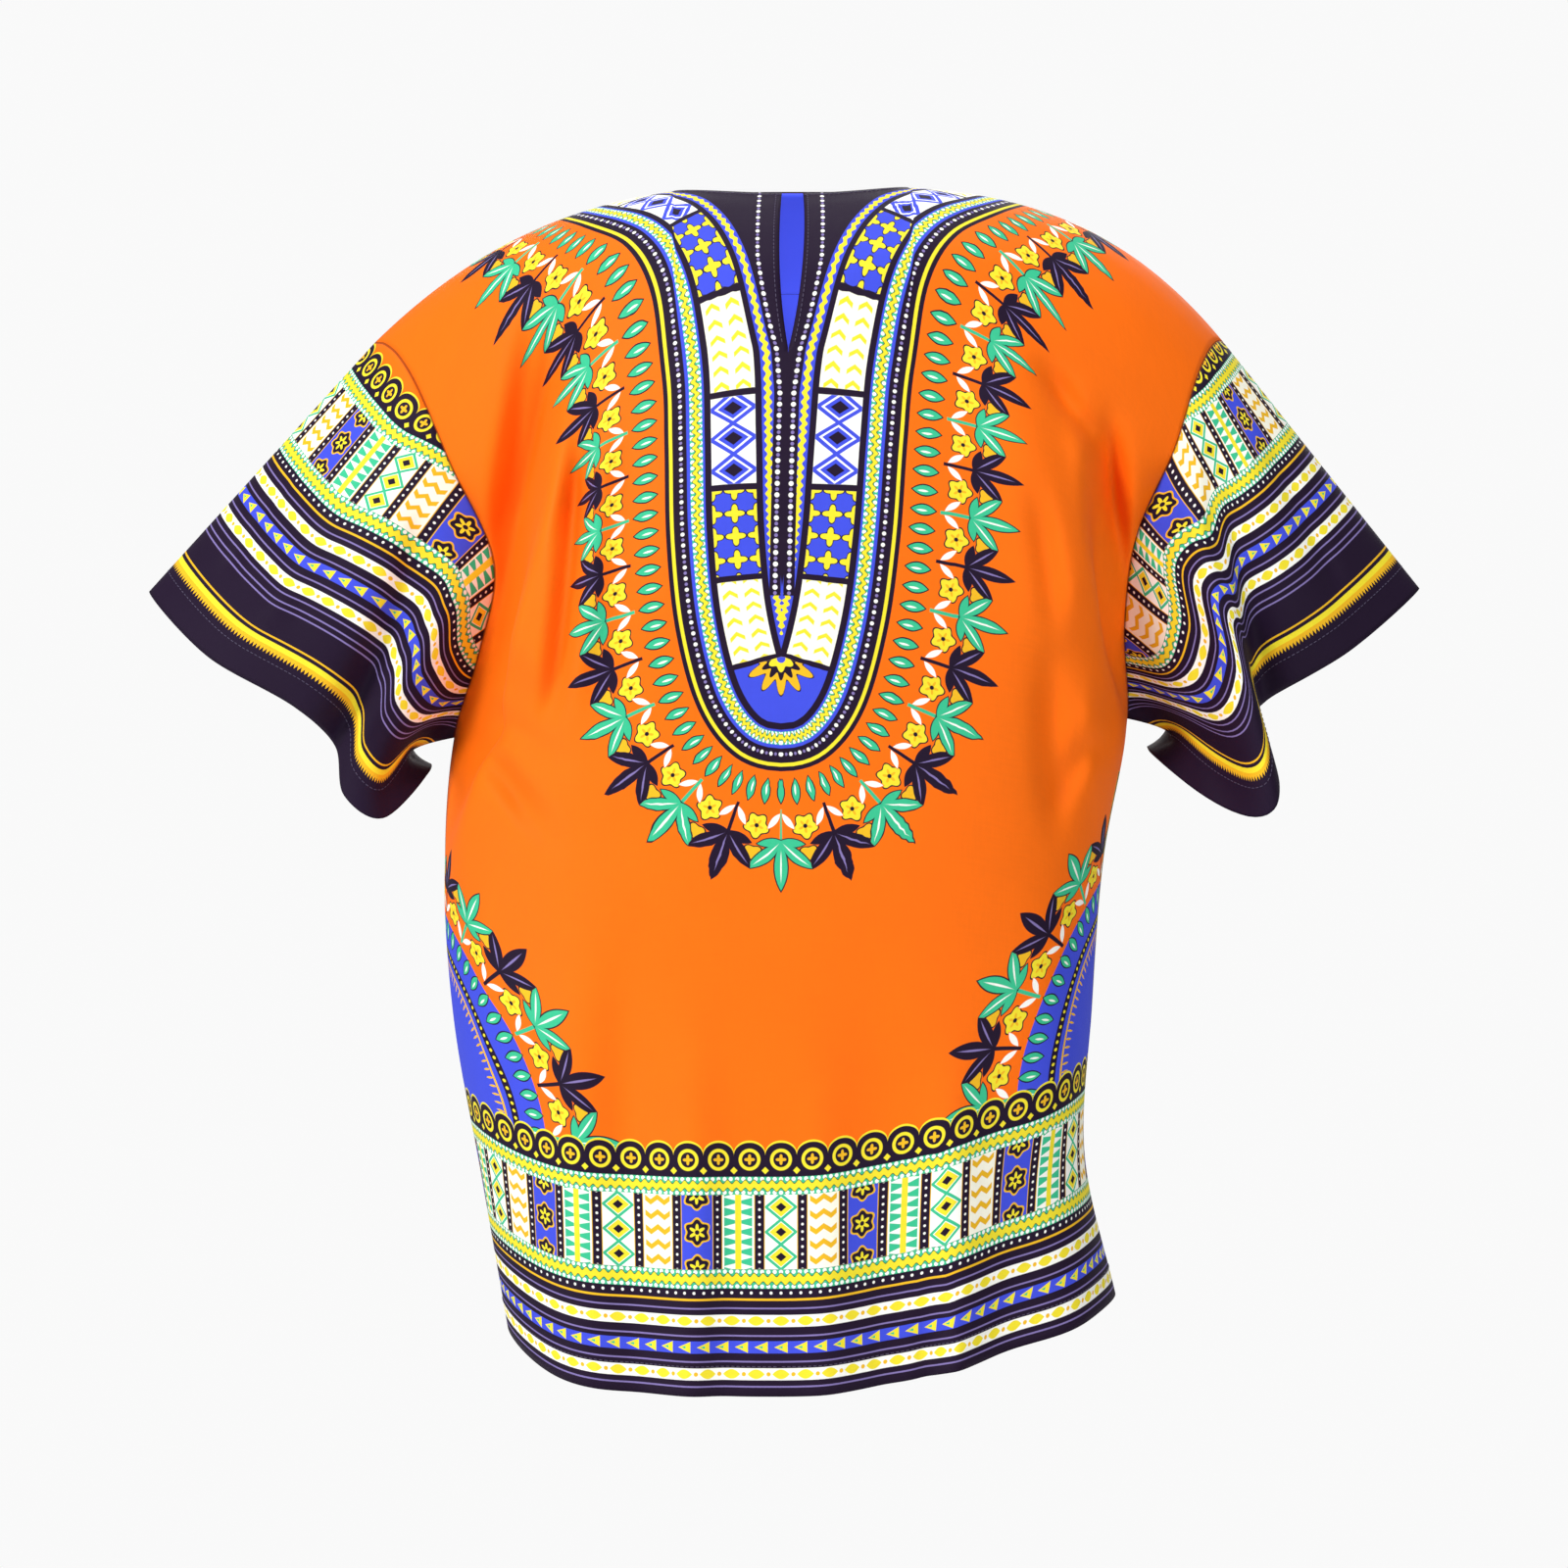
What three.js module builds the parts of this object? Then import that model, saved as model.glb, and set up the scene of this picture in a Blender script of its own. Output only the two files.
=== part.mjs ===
// A pullover dashiki shirt in printed cotton, filled out as it hangs on a wearer who isn't there.
// Millimetres. +Z is up, the front faces -Y, and the origin is in the neck opening at shoulder height,
// where the wearer's shoulders carry the cloth. Left and right are as seen from the front.
// Each cut piece is a thin closed wall: a sheet of points, and the same points moved in by the wall.
import * as THREE from "three";

// ---- Driving sizes ----
const WALL = 1.6; // thickness of the cloth walls
const SEAM_GAP = 1.0; // free space left between two pieces at a seam
const ROUNDED = 0.2; // share of a panel's length in which it rolls over the shoulder
const UNDERARM = 0.46; // share of a panel's length at which its armhole ends
const SQUARE = 2.5; // superellipse power of a body section
const FACING_INSET = 1.2; // free space between the back panel and its facing

const NECK = { half: 75, frontY: -50, frontZ: -9, backY: 62, backZ: 3, tilt: 0.55 };
const SLIT = { at: 0.19, half: 9.5, closing: 2.2, slack: 0.6 }; // slack: how much it widens on the way down
const LEAN = 7; // how far the middle of the shoulders lies to the right of the hem's

// Grid steps of the sheets.
const STEPS = { cap: 5, neck: 6, armhole: 12, below: 12, sleeve: 10, facingDown: 7 };

// A table's rows, with each value under its column's name.
const table = (columns, rows) =>
  rows.map((row) => Object.fromEntries(columns.split(" ").map((name, i) => [name, row[i]])));

// ---- Body sections, from the shoulder to the hem ----
// at: share of the length. leftX..rightZ: where the panels' edges run (armhole, then side seam).
// frontEdge, backEdge: how far the edges stand forward and back. frontMid, backMid: the same at the middle.
// frontZ, backZ: height of the middle. leftFall, rightFall: how late a row drops towards each edge.
// round: 0 for a row that runs on into the sleeves, 1 for half of a closed tube.
const SECTIONS = table(
  "at leftX leftZ leftFall rightX rightZ rightFall frontEdge frontMid frontZ backEdge backMid backZ round",
  [
    [0.2, -204, -178, 2.6, 243, -168, 2.6, -60, -124, -118, 52, 112, -104, 0.2],
    [0.29, -178, -238, 2.4, 220, -222, 2.4, -46, -136, -184, 50, 124, -172, 0.75],
    [0.37, -188, -292, 2.2, 214, -277, 2.2, -26, -141, -250, 28, 126, -242, 1],
    [0.46, -205, -346, 2, 217, -334, 2, -4, -142, -320, -4, 122, -314, 1],
    [0.58, -211, -428, 2, 202, -420, 2, 0, -141, -412, 0, 116, -410, 1],
    [0.72, -205, -522, 2, 194, -514, 2, 2, -140, -520, 2, 113, -518, 1],
    [0.86, -188, -618, 3, 188, -602, 2, 2, -142, -632, 2, 116, -628, 1],
    [1, -171, -713, 5, 209, -693, 1.8, 0, -146, -744, 0, 122, -738, 1],
  ],
);
const SHOULDER = { leftX: -255, leftZ: -98, leftFall: 2.7, rightX: 277, rightZ: -97, rightFall: 3.3 };

// ---- Cuff edges, once round from the top: front, underside, back ----
const CUFFS = {
  left: table("name round x y z", [
    ["top", 0, -397, 4, -254],
    ["front_high", 0.13, -356, -40, -296],
    ["front_turn", 0.24, -300, -58, -328],
    ["front_step", 0.32, -277, -50, -352],
    ["front_lobe", 0.38, -271, -46, -382],
    ["lobe", 0.44, -246, -34, -396],
    ["underside", 0.5, -219, -3, -364],
    ["back_low", 0.62, -248, 44, -364],
    ["back_mid", 0.75, -300, 60, -324],
    ["back_high", 0.88, -356, 42, -284],
  ]),
  right: table("name round x y z", [
    ["top", 0, 401, 4, -252],
    ["front_high", 0.12, 354, -36, -292],
    ["front_turn", 0.23, 300, -44, -324],
    ["front_step", 0.3, 292, -56, -334],
    ["front_lobe", 0.36, 301, -68, -376],
    ["lobe", 0.42, 280, -66, -396],
    ["underside", 0.5, 231, -6, -354],
    ["back_low", 0.62, 252, 46, -354],
    ["back_mid", 0.75, 304, 58, -316],
    ["back_high", 0.88, 358, 40, -279],
  ]),
};
const SLEEVE_BULGE = 20; // how far a sleeve's middle stands out from a straight line to the cuff

// ---- Folds ----
// Each runs from a to b as seen from the front, bowed sideways at its middle. depth is outward, and
// negative in a trough. tuck shifts the cloth across the fold, so that it laps over its neighbour.
// It has grown to its depth at one share of its length, and begins fading at another.
const FOLD_COLUMNS = "name ax az bx bz bow depth width grown fading tuck";
const FRONT_FOLDS = table(FOLD_COLUMNS, [
  ["left_shoulder", -122, -36, -176, -262, 4, -30, 15, 0.75, 1, 0],
  ["left_drape", -135, -110, -146, -330, -6, 12, 22, 0.5, 0.8, 0],
  ["left_underarm", -228, -336, -120, -372, 8, -9, 15, 0.2, 0.5, 0],
  ["right_armpit", 196, -130, 212, -262, -4, -24, 13, 0.7, 1, 0],
  ["right_drape", 120, -70, 176, -300, 6, 10, 24, 0.4, 0.8, 0],
  ["right_hip", 165, -400, 168, -745, -4, 9, 26, 0.5, 1, 0],
  ["right_hem_turn", 150, -560, 142, -760, 3, -8, 22, 0.6, 1, 0],
  ["left_hip", -120, -400, -118, -750, 4, 7, 30, 0.4, 1, 0],
  ["mid_hang", 58, -420, 64, -750, -3, -7, 26, 0.6, 1, 0],
]);
const BACK_FOLDS = table(FOLD_COLUMNS, [
  ["left_blade", -140, -110, -150, -380, -6, 12, 24, 0.4, 0.8, 0],
  ["left_hang", -92, -230, -104, -742, 6, -13, 26, 0.5, 1, 0],
  ["left_hip", -40, -330, -46, -742, -5, 9, 28, 0.5, 1, 0],
  ["right_blade", 150, -100, 158, -390, 8, 12, 24, 0.4, 0.8, 0],
  ["right_hang", 88, -250, 108, -742, -7, -14, 25, 0.5, 1, 0],
  ["right_hip", 28, -380, 34, -742, 4, -8, 24, 0.6, 1, 0],
]);
const SLEEVE_FOLDS = {
  left: table(FOLD_COLUMNS, [
    ["step", -205, -150, -290, -378, 16, -12, 17, 0.6, 1, 0],
    ["lobe", -196, -240, -254, -404, 6, 12, 22, 0.5, 1, 0],
  ]),
  right: table(FOLD_COLUMNS, [
    ["valley", 270, -96, 312, -350, -14, -16, 15, 0.6, 1, 0],
    ["lap", 256, -130, 292, -404, -12, 16, 20, 0.6, 1, 13],
  ]),
};

// ---- Curves ----
const mix = (a, b, share) => a + (b - a) * share;
const smooth = (share) => {
  const s = Math.min(1, Math.max(0, share));
  return s * s * (3 - 2 * s);
};

// A smooth curve through values at uneven knots.
function through(knots, values, at) {
  const last = knots.length - 1;
  let i = 0;
  while (i < last - 1 && at > knots[i + 1]) i++;
  const slope = (k) => {
    const a = Math.max(0, k - 1);
    const b = Math.min(last, k + 1);
    return (values[b] - values[a]) / (knots[b] - knots[a]);
  };
  const span = knots[i + 1] - knots[i];
  const t = (at - knots[i]) / span;
  const rest = 1 - t;
  return (
    values[i] * (1 + 2 * t) * rest * rest +
    slope(i) * span * t * rest * rest +
    values[i + 1] * t * t * (3 - 2 * t) -
    slope(i + 1) * span * t * t * rest
  );
}

// ---- Body panels ----
const endX = (row, across) => (across < 0 ? -row.leftX : row.rightX);
const endZ = (row, across) => (across < 0 ? row.leftZ : row.rightZ);
const fallOf = (row, across) => (across < 0 ? row.leftFall : row.rightFall);

// Where a panel starts: on the shoulder line, or on the neck's edge.
function topPoint(side, across) {
  const x = across * endX(SHOULDER, across);
  const open = Math.max(0, 1 - (x / NECK.half) ** 2);
  const ridge = endZ(SHOULDER, across) * Math.abs(across) ** fallOf(SHOULDER, across);
  const y = (side === "front" ? NECK.frontY : NECK.backY) * Math.sqrt(open);
  return [x, y, ridge + (side === "front" ? NECK.frontZ : NECK.backZ) * open, open];
}

function sectionPoint(side, row, across) {
  const turn = (across * Math.PI) / 2;
  const wide = Math.sign(across) * Math.abs(Math.sin(turn)) ** (2 / SQUARE);
  const deep = Math.abs(Math.cos(turn)) ** (2 / SQUARE);
  const x = mix(across, wide, row.round) * endX(row, across);
  const edge = side === "front" ? row.frontEdge : row.backEdge;
  const mid = side === "front" ? row.frontMid : row.backMid;
  const midZ = side === "front" ? row.frontZ : row.backZ;
  const y = mix(edge, mid, mix(1 - across * across, deep, row.round));
  return [x, y, mix(midZ, endZ(row, across), Math.abs(x / endX(row, across)) ** fallOf(row, across))];
}

// The rows that a panel's column passes through: an arc over the shoulder, then the sections.
function columnKeys(side, across) {
  const top = topPoint(side, across);
  const full = sectionPoint(side, SECTIONS[0], across);
  const start = NECK.tilt * Math.sqrt(top[3]);
  const keys = [0, 0.15, 0.35, 0.6].map((share) => {
    const turn = mix(start, Math.PI / 2, share);
    const out = (Math.sin(turn) - Math.sin(start)) / (1 - Math.sin(start));
    const down = (Math.cos(start) - Math.cos(turn)) / Math.cos(start);
    const grown = [share, out, down];
    return { at: share * ROUNDED, p: grown.map((g, i) => mix(top[i], full[i], g)) };
  });
  return [...keys, ...SECTIONS.map((row) => ({ at: row.at, p: sectionPoint(side, row, across) }))];
}

// How much of a fold there is at a point seen from the front, and how far across it the point lies.
function foldAt(fold, x, z) {
  const dx = fold.bx - fold.ax;
  const dz = fold.bz - fold.az;
  const long = Math.hypot(dx, dz);
  const along = ((x - fold.ax) * dx + (z - fold.az) * dz) / (long * long);
  const off = ((x - fold.ax) * -dz + (z - fold.az) * dx) / long - fold.bow * 4 * along * (1 - along);
  const fade = fold.fading < 1 ? 1 - smooth((along - fold.fading) / (1 - fold.fading)) : 1;
  const grow = smooth(along / fold.grown) * fade;
  return [grow * Math.exp(-((off / fold.width) ** 2)), [-dz / long, dx / long]];
}

function folded(folds, point, out, fade) {
  const [x, y, z] = point;
  let [px, py, pz] = point;
  for (const fold of folds) {
    const [share, sideways] = foldAt(fold, x, z);
    const push = share * fade * fold.depth;
    const lap = share * fade * fold.tuck;
    px += out[0] * push + sideways[0] * lap;
    py += out[1] * push;
    pz += sideways[1] * lap;
  }
  return [px, py, pz];
}

function smoothPoint(side, across, at) {
  const keys = columnKeys(side, across);
  const knots = keys.map((k) => k.at);
  return [0, 1, 2].map((i) => through(knots, keys.map((k) => k.p[i]), at));
}

function bodyPoint(side, across, at) {
  const point = smoothPoint(side, across, at);
  if (at >= UNDERARM) {
    // The side seam is halfway between the edges that the two panels would have.
    const [frontEdge, backEdge] = ["front", "back"].map((s) => smoothPoint(s, across < 0 ? -1 : 1, at)[1]);
    point[1] += (side === "front" ? 0.5 : -0.5) * (backEdge - frontEdge) * across ** 6;
  }
  point[0] += LEAN * (1 - across * across) * (1 - smooth(at / UNDERARM));
  const turn = ((across * Math.PI) / 2) * smooth((at - ROUNDED) / (UNDERARM - ROUNDED));
  const out = [Math.sin(turn), (side === "front" ? -1 : 1) * Math.cos(turn)];
  const fade = (1 - Math.abs(across) ** 10) * smooth(at / 0.08);
  return folded(side === "front" ? FRONT_FOLDS : BACK_FOLDS, point, out, fade);
}

// The neck slit parts the front: each half is moved aside, most at its own edge.
function partedFront(across, at, half) {
  const p = bodyPoint("front", across, at);
  const share = at / SLIT.at;
  if (share >= 1) return p;
  const open = SLIT.half * (1 - share ** SLIT.closing) * (0.8 + SLIT.slack * share);
  p[0] += half * open * Math.max(0, 1 - Math.abs(p[0]) / NECK.half) ** 1.5;
  return p;
}

// ---- Sleeves ----
function cuffPoint(side, round) {
  const rows = CUFFS[side];
  const ring = [
    { ...rows.at(-1), round: rows.at(-1).round - 1 },
    ...rows,
    { ...rows[0], round: 1 },
    { ...rows[1], round: 1 + rows[1].round },
  ];
  const knots = ring.map((r) => r.round);
  return ["x", "y", "z"].map((axis) => through(knots, ring.map((r) => r[axis]), round));
}

function sleevePoint(side, round, along) {
  const across = side === "left" ? -1 : 1;
  const front = round <= 0.5;
  const start = bodyPoint(front ? "front" : "back", across, UNDERARM * (front ? 2 * round : 2 - 2 * round));
  const end = cuffPoint(side, round);
  const forward = Math.sin(2 * Math.PI * round);
  const under = Math.max(0, -Math.cos(2 * Math.PI * round));
  const bulge = 4 * along * (1 - along) * SLEEVE_BULGE;
  const point = start.map((v, i) => mix(v, end[i], along));
  point[0] += across * under * bulge;
  point[1] -= forward * bulge;
  const fade = Math.max(0, forward) ** 0.5 * smooth(along / 0.25);
  return folded(SLEEVE_FOLDS[side], point, [0, -1], fade);
}

// ---- Sheets: points and triangles of one side of the cloth ----
const placeKey = (p) => p.map((v) => Math.round(v * 100)).join();
const spaced = (from, to, steps) => Array.from({ length: steps + 1 }, (_, i) => mix(from, to, i / steps));

const ACROSS_LEFT = [
  ...spaced(-1, NECK.half / SHOULDER.leftX, STEPS.cap * 2).slice(0, -1),
  ...spaced(NECK.half / SHOULDER.leftX, 0, STEPS.neck),
];
const ACROSS_RIGHT = [
  ...spaced(0, NECK.half / SHOULDER.rightX, STEPS.neck).slice(0, -1),
  ...spaced(NECK.half / SHOULDER.rightX, 1, STEPS.cap * 2),
];
const ROWS = [...spaced(0, UNDERARM, STEPS.armhole), ...spaced(UNDERARM, 1, STEPS.below).slice(1)];

function sheetOf(columns, rows, pointAt) {
  const points = [];
  const index = new Map();
  const at = columns.map((c) =>
    rows.map((r) => {
      const p = pointAt(c, r);
      const key = placeKey(p);
      if (!index.has(key)) index.set(key, points.push(p) - 1);
      return index.get(key);
    }),
  );
  const triangles = [];
  for (let c = 0; c + 1 < columns.length; c++)
    for (let r = 0; r + 1 < rows.length; r++) {
      const [a, b, d, e] = [at[c][r], at[c + 1][r], at[c + 1][r + 1], at[c][r + 1]];
      for (const t of (c + r) % 2 ? [[a, b, d], [a, d, e]] : [[a, b, e], [b, d, e]])
        if (new Set(t).size === 3) triangles.push(t);
    }
  return { points, triangles };
}

const turnedOver = (sheet) => ({ ...sheet, triangles: sheet.triangles.map(([a, b, c]) => [a, c, b]) });

function joinedSheets(a, b) {
  const points = [...a.points];
  const index = new Map(points.map((p, i) => [placeKey(p), i]));
  const moved = b.points.map((p) => {
    const key = placeKey(p);
    if (!index.has(key)) index.set(key, points.push(p) - 1);
    return index.get(key);
  });
  return { points, triangles: [...a.triangles, ...b.triangles.map((t) => t.map((i) => moved[i]))] };
}

// ---- Walls ----
const vector = (p) => new THREE.Vector3(...p);

// Normals shared by every sheet that has a point at the same place, so that seams stay flush.
function sharedNormals(sheets) {
  const normals = new Map();
  for (const { points, triangles } of sheets)
    for (const [a, b, c] of triangles) {
      const ab = vector(points[b]).sub(vector(points[a]));
      const face = ab.cross(vector(points[c]).sub(vector(points[a])));
      for (const i of [a, b, c]) {
        const key = placeKey(points[i]);
        normals.set(key, (normals.get(key) || new THREE.Vector3()).add(face));
      }
    }
  normals.forEach((n) => n.normalize());
  return normals;
}

// The edges that only one triangle uses, each in that triangle's direction.
function openEdges(triangles) {
  const found = new Map();
  for (const t of triangles)
    t.forEach((a, i) => {
      const b = t[(i + 1) % 3];
      if (!found.delete(b + ":" + a)) found.set(a + ":" + b, [a, b]);
    });
  return [...found.values()];
}

// A closed wall on the inner side of a sheet, drawn back from its own edge by half a seam gap.
function wallOf({ points, triangles }, normals, inset = 0) {
  const edges = openEdges(triangles);
  const onEdge = new Set(edges.flat());
  const pull = new Map([...onEdge].map((i) => [i, new THREE.Vector3()]));
  for (const t of triangles)
    for (const i of t.filter((k) => onEdge.has(k)))
      for (const j of t) pull.get(i).add(vector(points[j]).sub(vector(points[i])));
  const outer = points.map((p, i) => {
    const n = normals.get(placeKey(p));
    const place = vector(p).addScaledVector(n, -inset);
    if (!onEdge.has(i)) return place;
    const inward = pull.get(i).addScaledVector(n, -pull.get(i).dot(n)).normalize();
    return place.addScaledVector(inward, SEAM_GAP / 2);
  });
  const inner = outer.map((p, i) => p.clone().addScaledVector(normals.get(placeKey(points[i])), -WALL));
  const shift = points.length;
  const faces = [
    ...triangles,
    ...triangles.map(([a, b, c]) => [a + shift, c + shift, b + shift]),
    ...edges.flatMap(([a, b]) => [[b, a, a + shift], [b, a + shift, b + shift]]),
  ];
  const geometry = new THREE.BufferGeometry();
  const flat = new Float32Array([...outer, ...inner].flatMap((p) => [p.x, p.y, p.z]));
  geometry.setAttribute("position", new THREE.BufferAttribute(flat, 3));
  geometry.setIndex(faces.flat());
  geometry.computeVertexNormals();
  return geometry;
}

// ---- The cut pieces ----
const front = turnedOver(
  joinedSheets(
    sheetOf(ACROSS_LEFT, ROWS, (across, at) => partedFront(across, at, -1)),
    sheetOf(ACROSS_RIGHT, ROWS, (across, at) => partedFront(across, at, 1)),
  ),
);
const back = joinedSheets(
  sheetOf(ACROSS_LEFT, ROWS, (across, at) => bodyPoint("back", across, at)),
  sheetOf(ACROSS_RIGHT, ROWS, (across, at) => bodyPoint("back", across, at)),
);
const AROUND = spaced(0, 1, STEPS.armhole * 2);
const ALONG = spaced(0, 1, STEPS.sleeve);
const sleeves = {
  left: turnedOver(sheetOf(AROUND, ALONG, (round, along) => sleevePoint("left", round % 1, along))),
  right: sheetOf(AROUND, ALONG, (round, along) => sleevePoint("right", round % 1, along)),
};
const facingColumns = [...ACROSS_LEFT, ...ACROSS_RIGHT.slice(1)].filter((a) => Math.abs(a) < 0.5);
const facing = sheetOf(facingColumns, ROWS.slice(0, STEPS.facingDown + 1), (across, at) =>
  bodyPoint("back", across, at),
);

const cloth = (color, roughness) => new THREE.MeshStandardMaterial({ color, roughness, metalness: 0 });
const printed = cloth(0xf96a10, 0.62);
const bordered = cloth(0x241a38, 0.62);
const plainBlue = cloth(0x3d4fd8, 0.65);

const shirt = new THREE.Group();
const normals = sharedNormals([front, back, sleeves.left, sleeves.right]);
const addPiece = (name, geometry, material) => {
  const mesh = new THREE.Mesh(geometry, material);
  mesh.name = name;
  shirt.add(mesh);
};
addPiece("front", wallOf(front, normals), printed);
addPiece("back", wallOf(back, normals), printed);
addPiece("sleeve_left", wallOf(sleeves.left, normals), bordered);
addPiece("sleeve_right", wallOf(sleeves.right, normals), bordered);
addPiece("back_neck_facing", wallOf(facing, normals, WALL + FACING_INSET), plainBlue);

export default shirt;
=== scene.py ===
"""A pullover dashiki shirt in printed cotton, filled out as it hangs on a wearer who isn't there.

The cloth is laid out as the cut pieces' own grids of points, in millimetres, and turned to metres when a
mesh is made. +Z is up, the front faces -Y, and left and right are as seen from the front.
"""
import math
from collections import namedtuple

import bpy
import mathutils
import numpy as np
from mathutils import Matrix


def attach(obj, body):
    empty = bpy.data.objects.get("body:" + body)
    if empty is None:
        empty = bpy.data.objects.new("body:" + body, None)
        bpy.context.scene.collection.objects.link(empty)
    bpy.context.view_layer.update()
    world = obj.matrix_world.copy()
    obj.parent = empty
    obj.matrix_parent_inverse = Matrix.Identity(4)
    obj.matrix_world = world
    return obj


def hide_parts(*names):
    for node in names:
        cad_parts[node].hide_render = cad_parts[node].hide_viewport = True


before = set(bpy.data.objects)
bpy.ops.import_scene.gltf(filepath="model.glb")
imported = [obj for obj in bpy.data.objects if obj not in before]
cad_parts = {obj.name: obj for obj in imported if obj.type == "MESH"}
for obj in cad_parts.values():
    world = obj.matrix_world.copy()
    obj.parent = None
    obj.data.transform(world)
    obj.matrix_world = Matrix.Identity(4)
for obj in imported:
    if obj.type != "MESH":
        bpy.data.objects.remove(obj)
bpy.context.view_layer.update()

MM = 0.001

# ---- the cut, in millimetres
CLOTH = 0.9  # thickness of the cotton with its finish
ROUNDED = 0.2  # share of a panel's length in which it rolls over the shoulder
UNDERARM = 0.46  # share of a panel's length at which its armhole ends
SQUARE = 2.5  # superellipse power of a body section
NECK_HALF, NECK_FRONT_Y, NECK_FRONT_Z, NECK_BACK_Y, NECK_BACK_Z, NECK_TILT = 75, -50, -9, 62, 3, 0.55
SLIT_AT, SLIT_HALF = 0.19, 9.5
LEAN = 7  # how far the neck sits to the right
SLEEVE_BULGE = 20  # how far a sleeve swells between armhole and cuff
HEM_TURNED = 19  # how far from an edge the turned-up cloth is double
HEM_STITCHED, EDGE_STITCHED = 18, 3  # how far from hems, and from neck and slit, the stitches run
CUFF_BAND = 57  # plain dark cloth between the cuff and the printed border
FACING_GAP = 0.6  # air between the back and its facing
KEYS_PER_MM = 20  # points in the same twentieth of a millimetre are one place

Section = namedtuple(
    "Section",
    "at left_x left_z left_fall right_x right_z right_fall"
    " front_edge front_mid front_z back_edge back_mid back_z round",
)
SECTIONS = [
    Section(0.2, -204, -178, 2.6, 243, -168, 2.6, -60, -124, -118, 52, 112, -104, 0.2),
    Section(0.29, -178, -238, 2.4, 220, -222, 2.4, -46, -136, -184, 50, 124, -172, 0.75),
    Section(0.37, -188, -292, 2.2, 214, -277, 2.2, -26, -141, -250, 28, 126, -242, 1),
    Section(0.46, -205, -346, 2, 217, -334, 2, -4, -142, -320, -4, 122, -314, 1),
    Section(0.58, -211, -428, 2, 202, -420, 2, 0, -141, -412, 0, 116, -410, 1),
    Section(0.72, -205, -522, 2, 194, -514, 2, 2, -140, -520, 2, 113, -518, 1),
    Section(0.86, -188, -618, 3, 188, -602, 2, 2, -142, -632, 2, 116, -628, 1),
    Section(1, -171, -713, 5, 209, -693, 1.8, 0, -146, -744, 0, 122, -738, 1),
]
Shoulder = namedtuple("Shoulder", "left_x left_z left_fall right_x right_z right_fall")
SHOULDER = Shoulder(-255, -98, 2.7, 277, -97, 3.3)

Cuff = namedtuple("Cuff", "round x y z")
CUFFS = {
    "left": [
        Cuff(0, -397, 4, -254),
        Cuff(0.13, -356, -40, -296),
        Cuff(0.24, -300, -58, -328),
        Cuff(0.32, -277, -50, -352),
        Cuff(0.38, -271, -46, -382),
        Cuff(0.44, -246, -34, -396),
        Cuff(0.5, -219, -3, -364),
        Cuff(0.62, -248, 44, -364),
        Cuff(0.75, -300, 60, -324),
        Cuff(0.88, -356, 42, -284),
    ],
    "right": [
        Cuff(0, 401, 4, -252),
        Cuff(0.12, 354, -36, -292),
        Cuff(0.23, 300, -44, -324),
        Cuff(0.3, 292, -56, -334),
        Cuff(0.36, 301, -68, -376),
        Cuff(0.42, 280, -66, -396),
        Cuff(0.5, 231, -6, -354),
        Cuff(0.62, 252, 46, -354),
        Cuff(0.75, 304, 58, -316),
        Cuff(0.88, 358, 40, -279),
    ],
}

# A fold runs from a to b as seen from the front, bowed sideways at its middle. depth is outward, and
# negative in a trough; tuck shifts the cloth across it. grown, fading: shares of its length.
Fold = namedtuple("Fold", "ax az bx bz bow depth width grown fading tuck", defaults=(0,))
FRONT_FOLDS = [
    Fold(-122, -36, -176, -262, 4, -30, 15, 0.75, 1),
    Fold(-135, -110, -146, -330, -6, 12, 22, 0.5, 0.8),
    Fold(-228, -336, -120, -372, 8, -9, 15, 0.2, 0.5),
    Fold(196, -130, 212, -262, -4, -24, 13, 0.7, 1),
    Fold(120, -70, 176, -300, 6, 10, 24, 0.4, 0.8),
    Fold(165, -400, 168, -745, -4, 9, 26, 0.5, 1),
    Fold(150, -560, 142, -760, 3, -8, 22, 0.6, 1),
    Fold(-120, -400, -118, -750, 4, 7, 30, 0.4, 1),
    Fold(58, -420, 64, -750, -3, -7, 26, 0.6, 1),
]
BACK_FOLDS = [
    Fold(-140, -110, -150, -380, -6, 12, 24, 0.4, 0.8),
    Fold(-92, -230, -104, -742, 6, -13, 26, 0.5, 1),
    Fold(-40, -330, -46, -742, -5, 9, 28, 0.5, 1),
    Fold(150, -100, 158, -390, 8, 12, 24, 0.4, 0.8),
    Fold(88, -250, 108, -742, -7, -14, 25, 0.5, 1),
    Fold(28, -380, 34, -742, 4, -8, 24, 0.6, 1),
]
SLEEVE_FOLDS = {
    "left": [
        Fold(-205, -150, -290, -378, 16, -12, 17, 0.6, 1),
        Fold(-196, -240, -254, -404, 6, 12, 22, 0.5, 1),
    ],
    "right": [
        Fold(270, -96, 312, -350, -14, -16, 15, 0.6, 1),
        Fold(256, -130, 292, -404, -12, 16, 20, 0.6, 1, 13),
    ],
}


# ---- curves and grids
def smooth(share):
    s = np.clip(share, 0, 1)
    return s * s * (3 - 2 * s)


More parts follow.
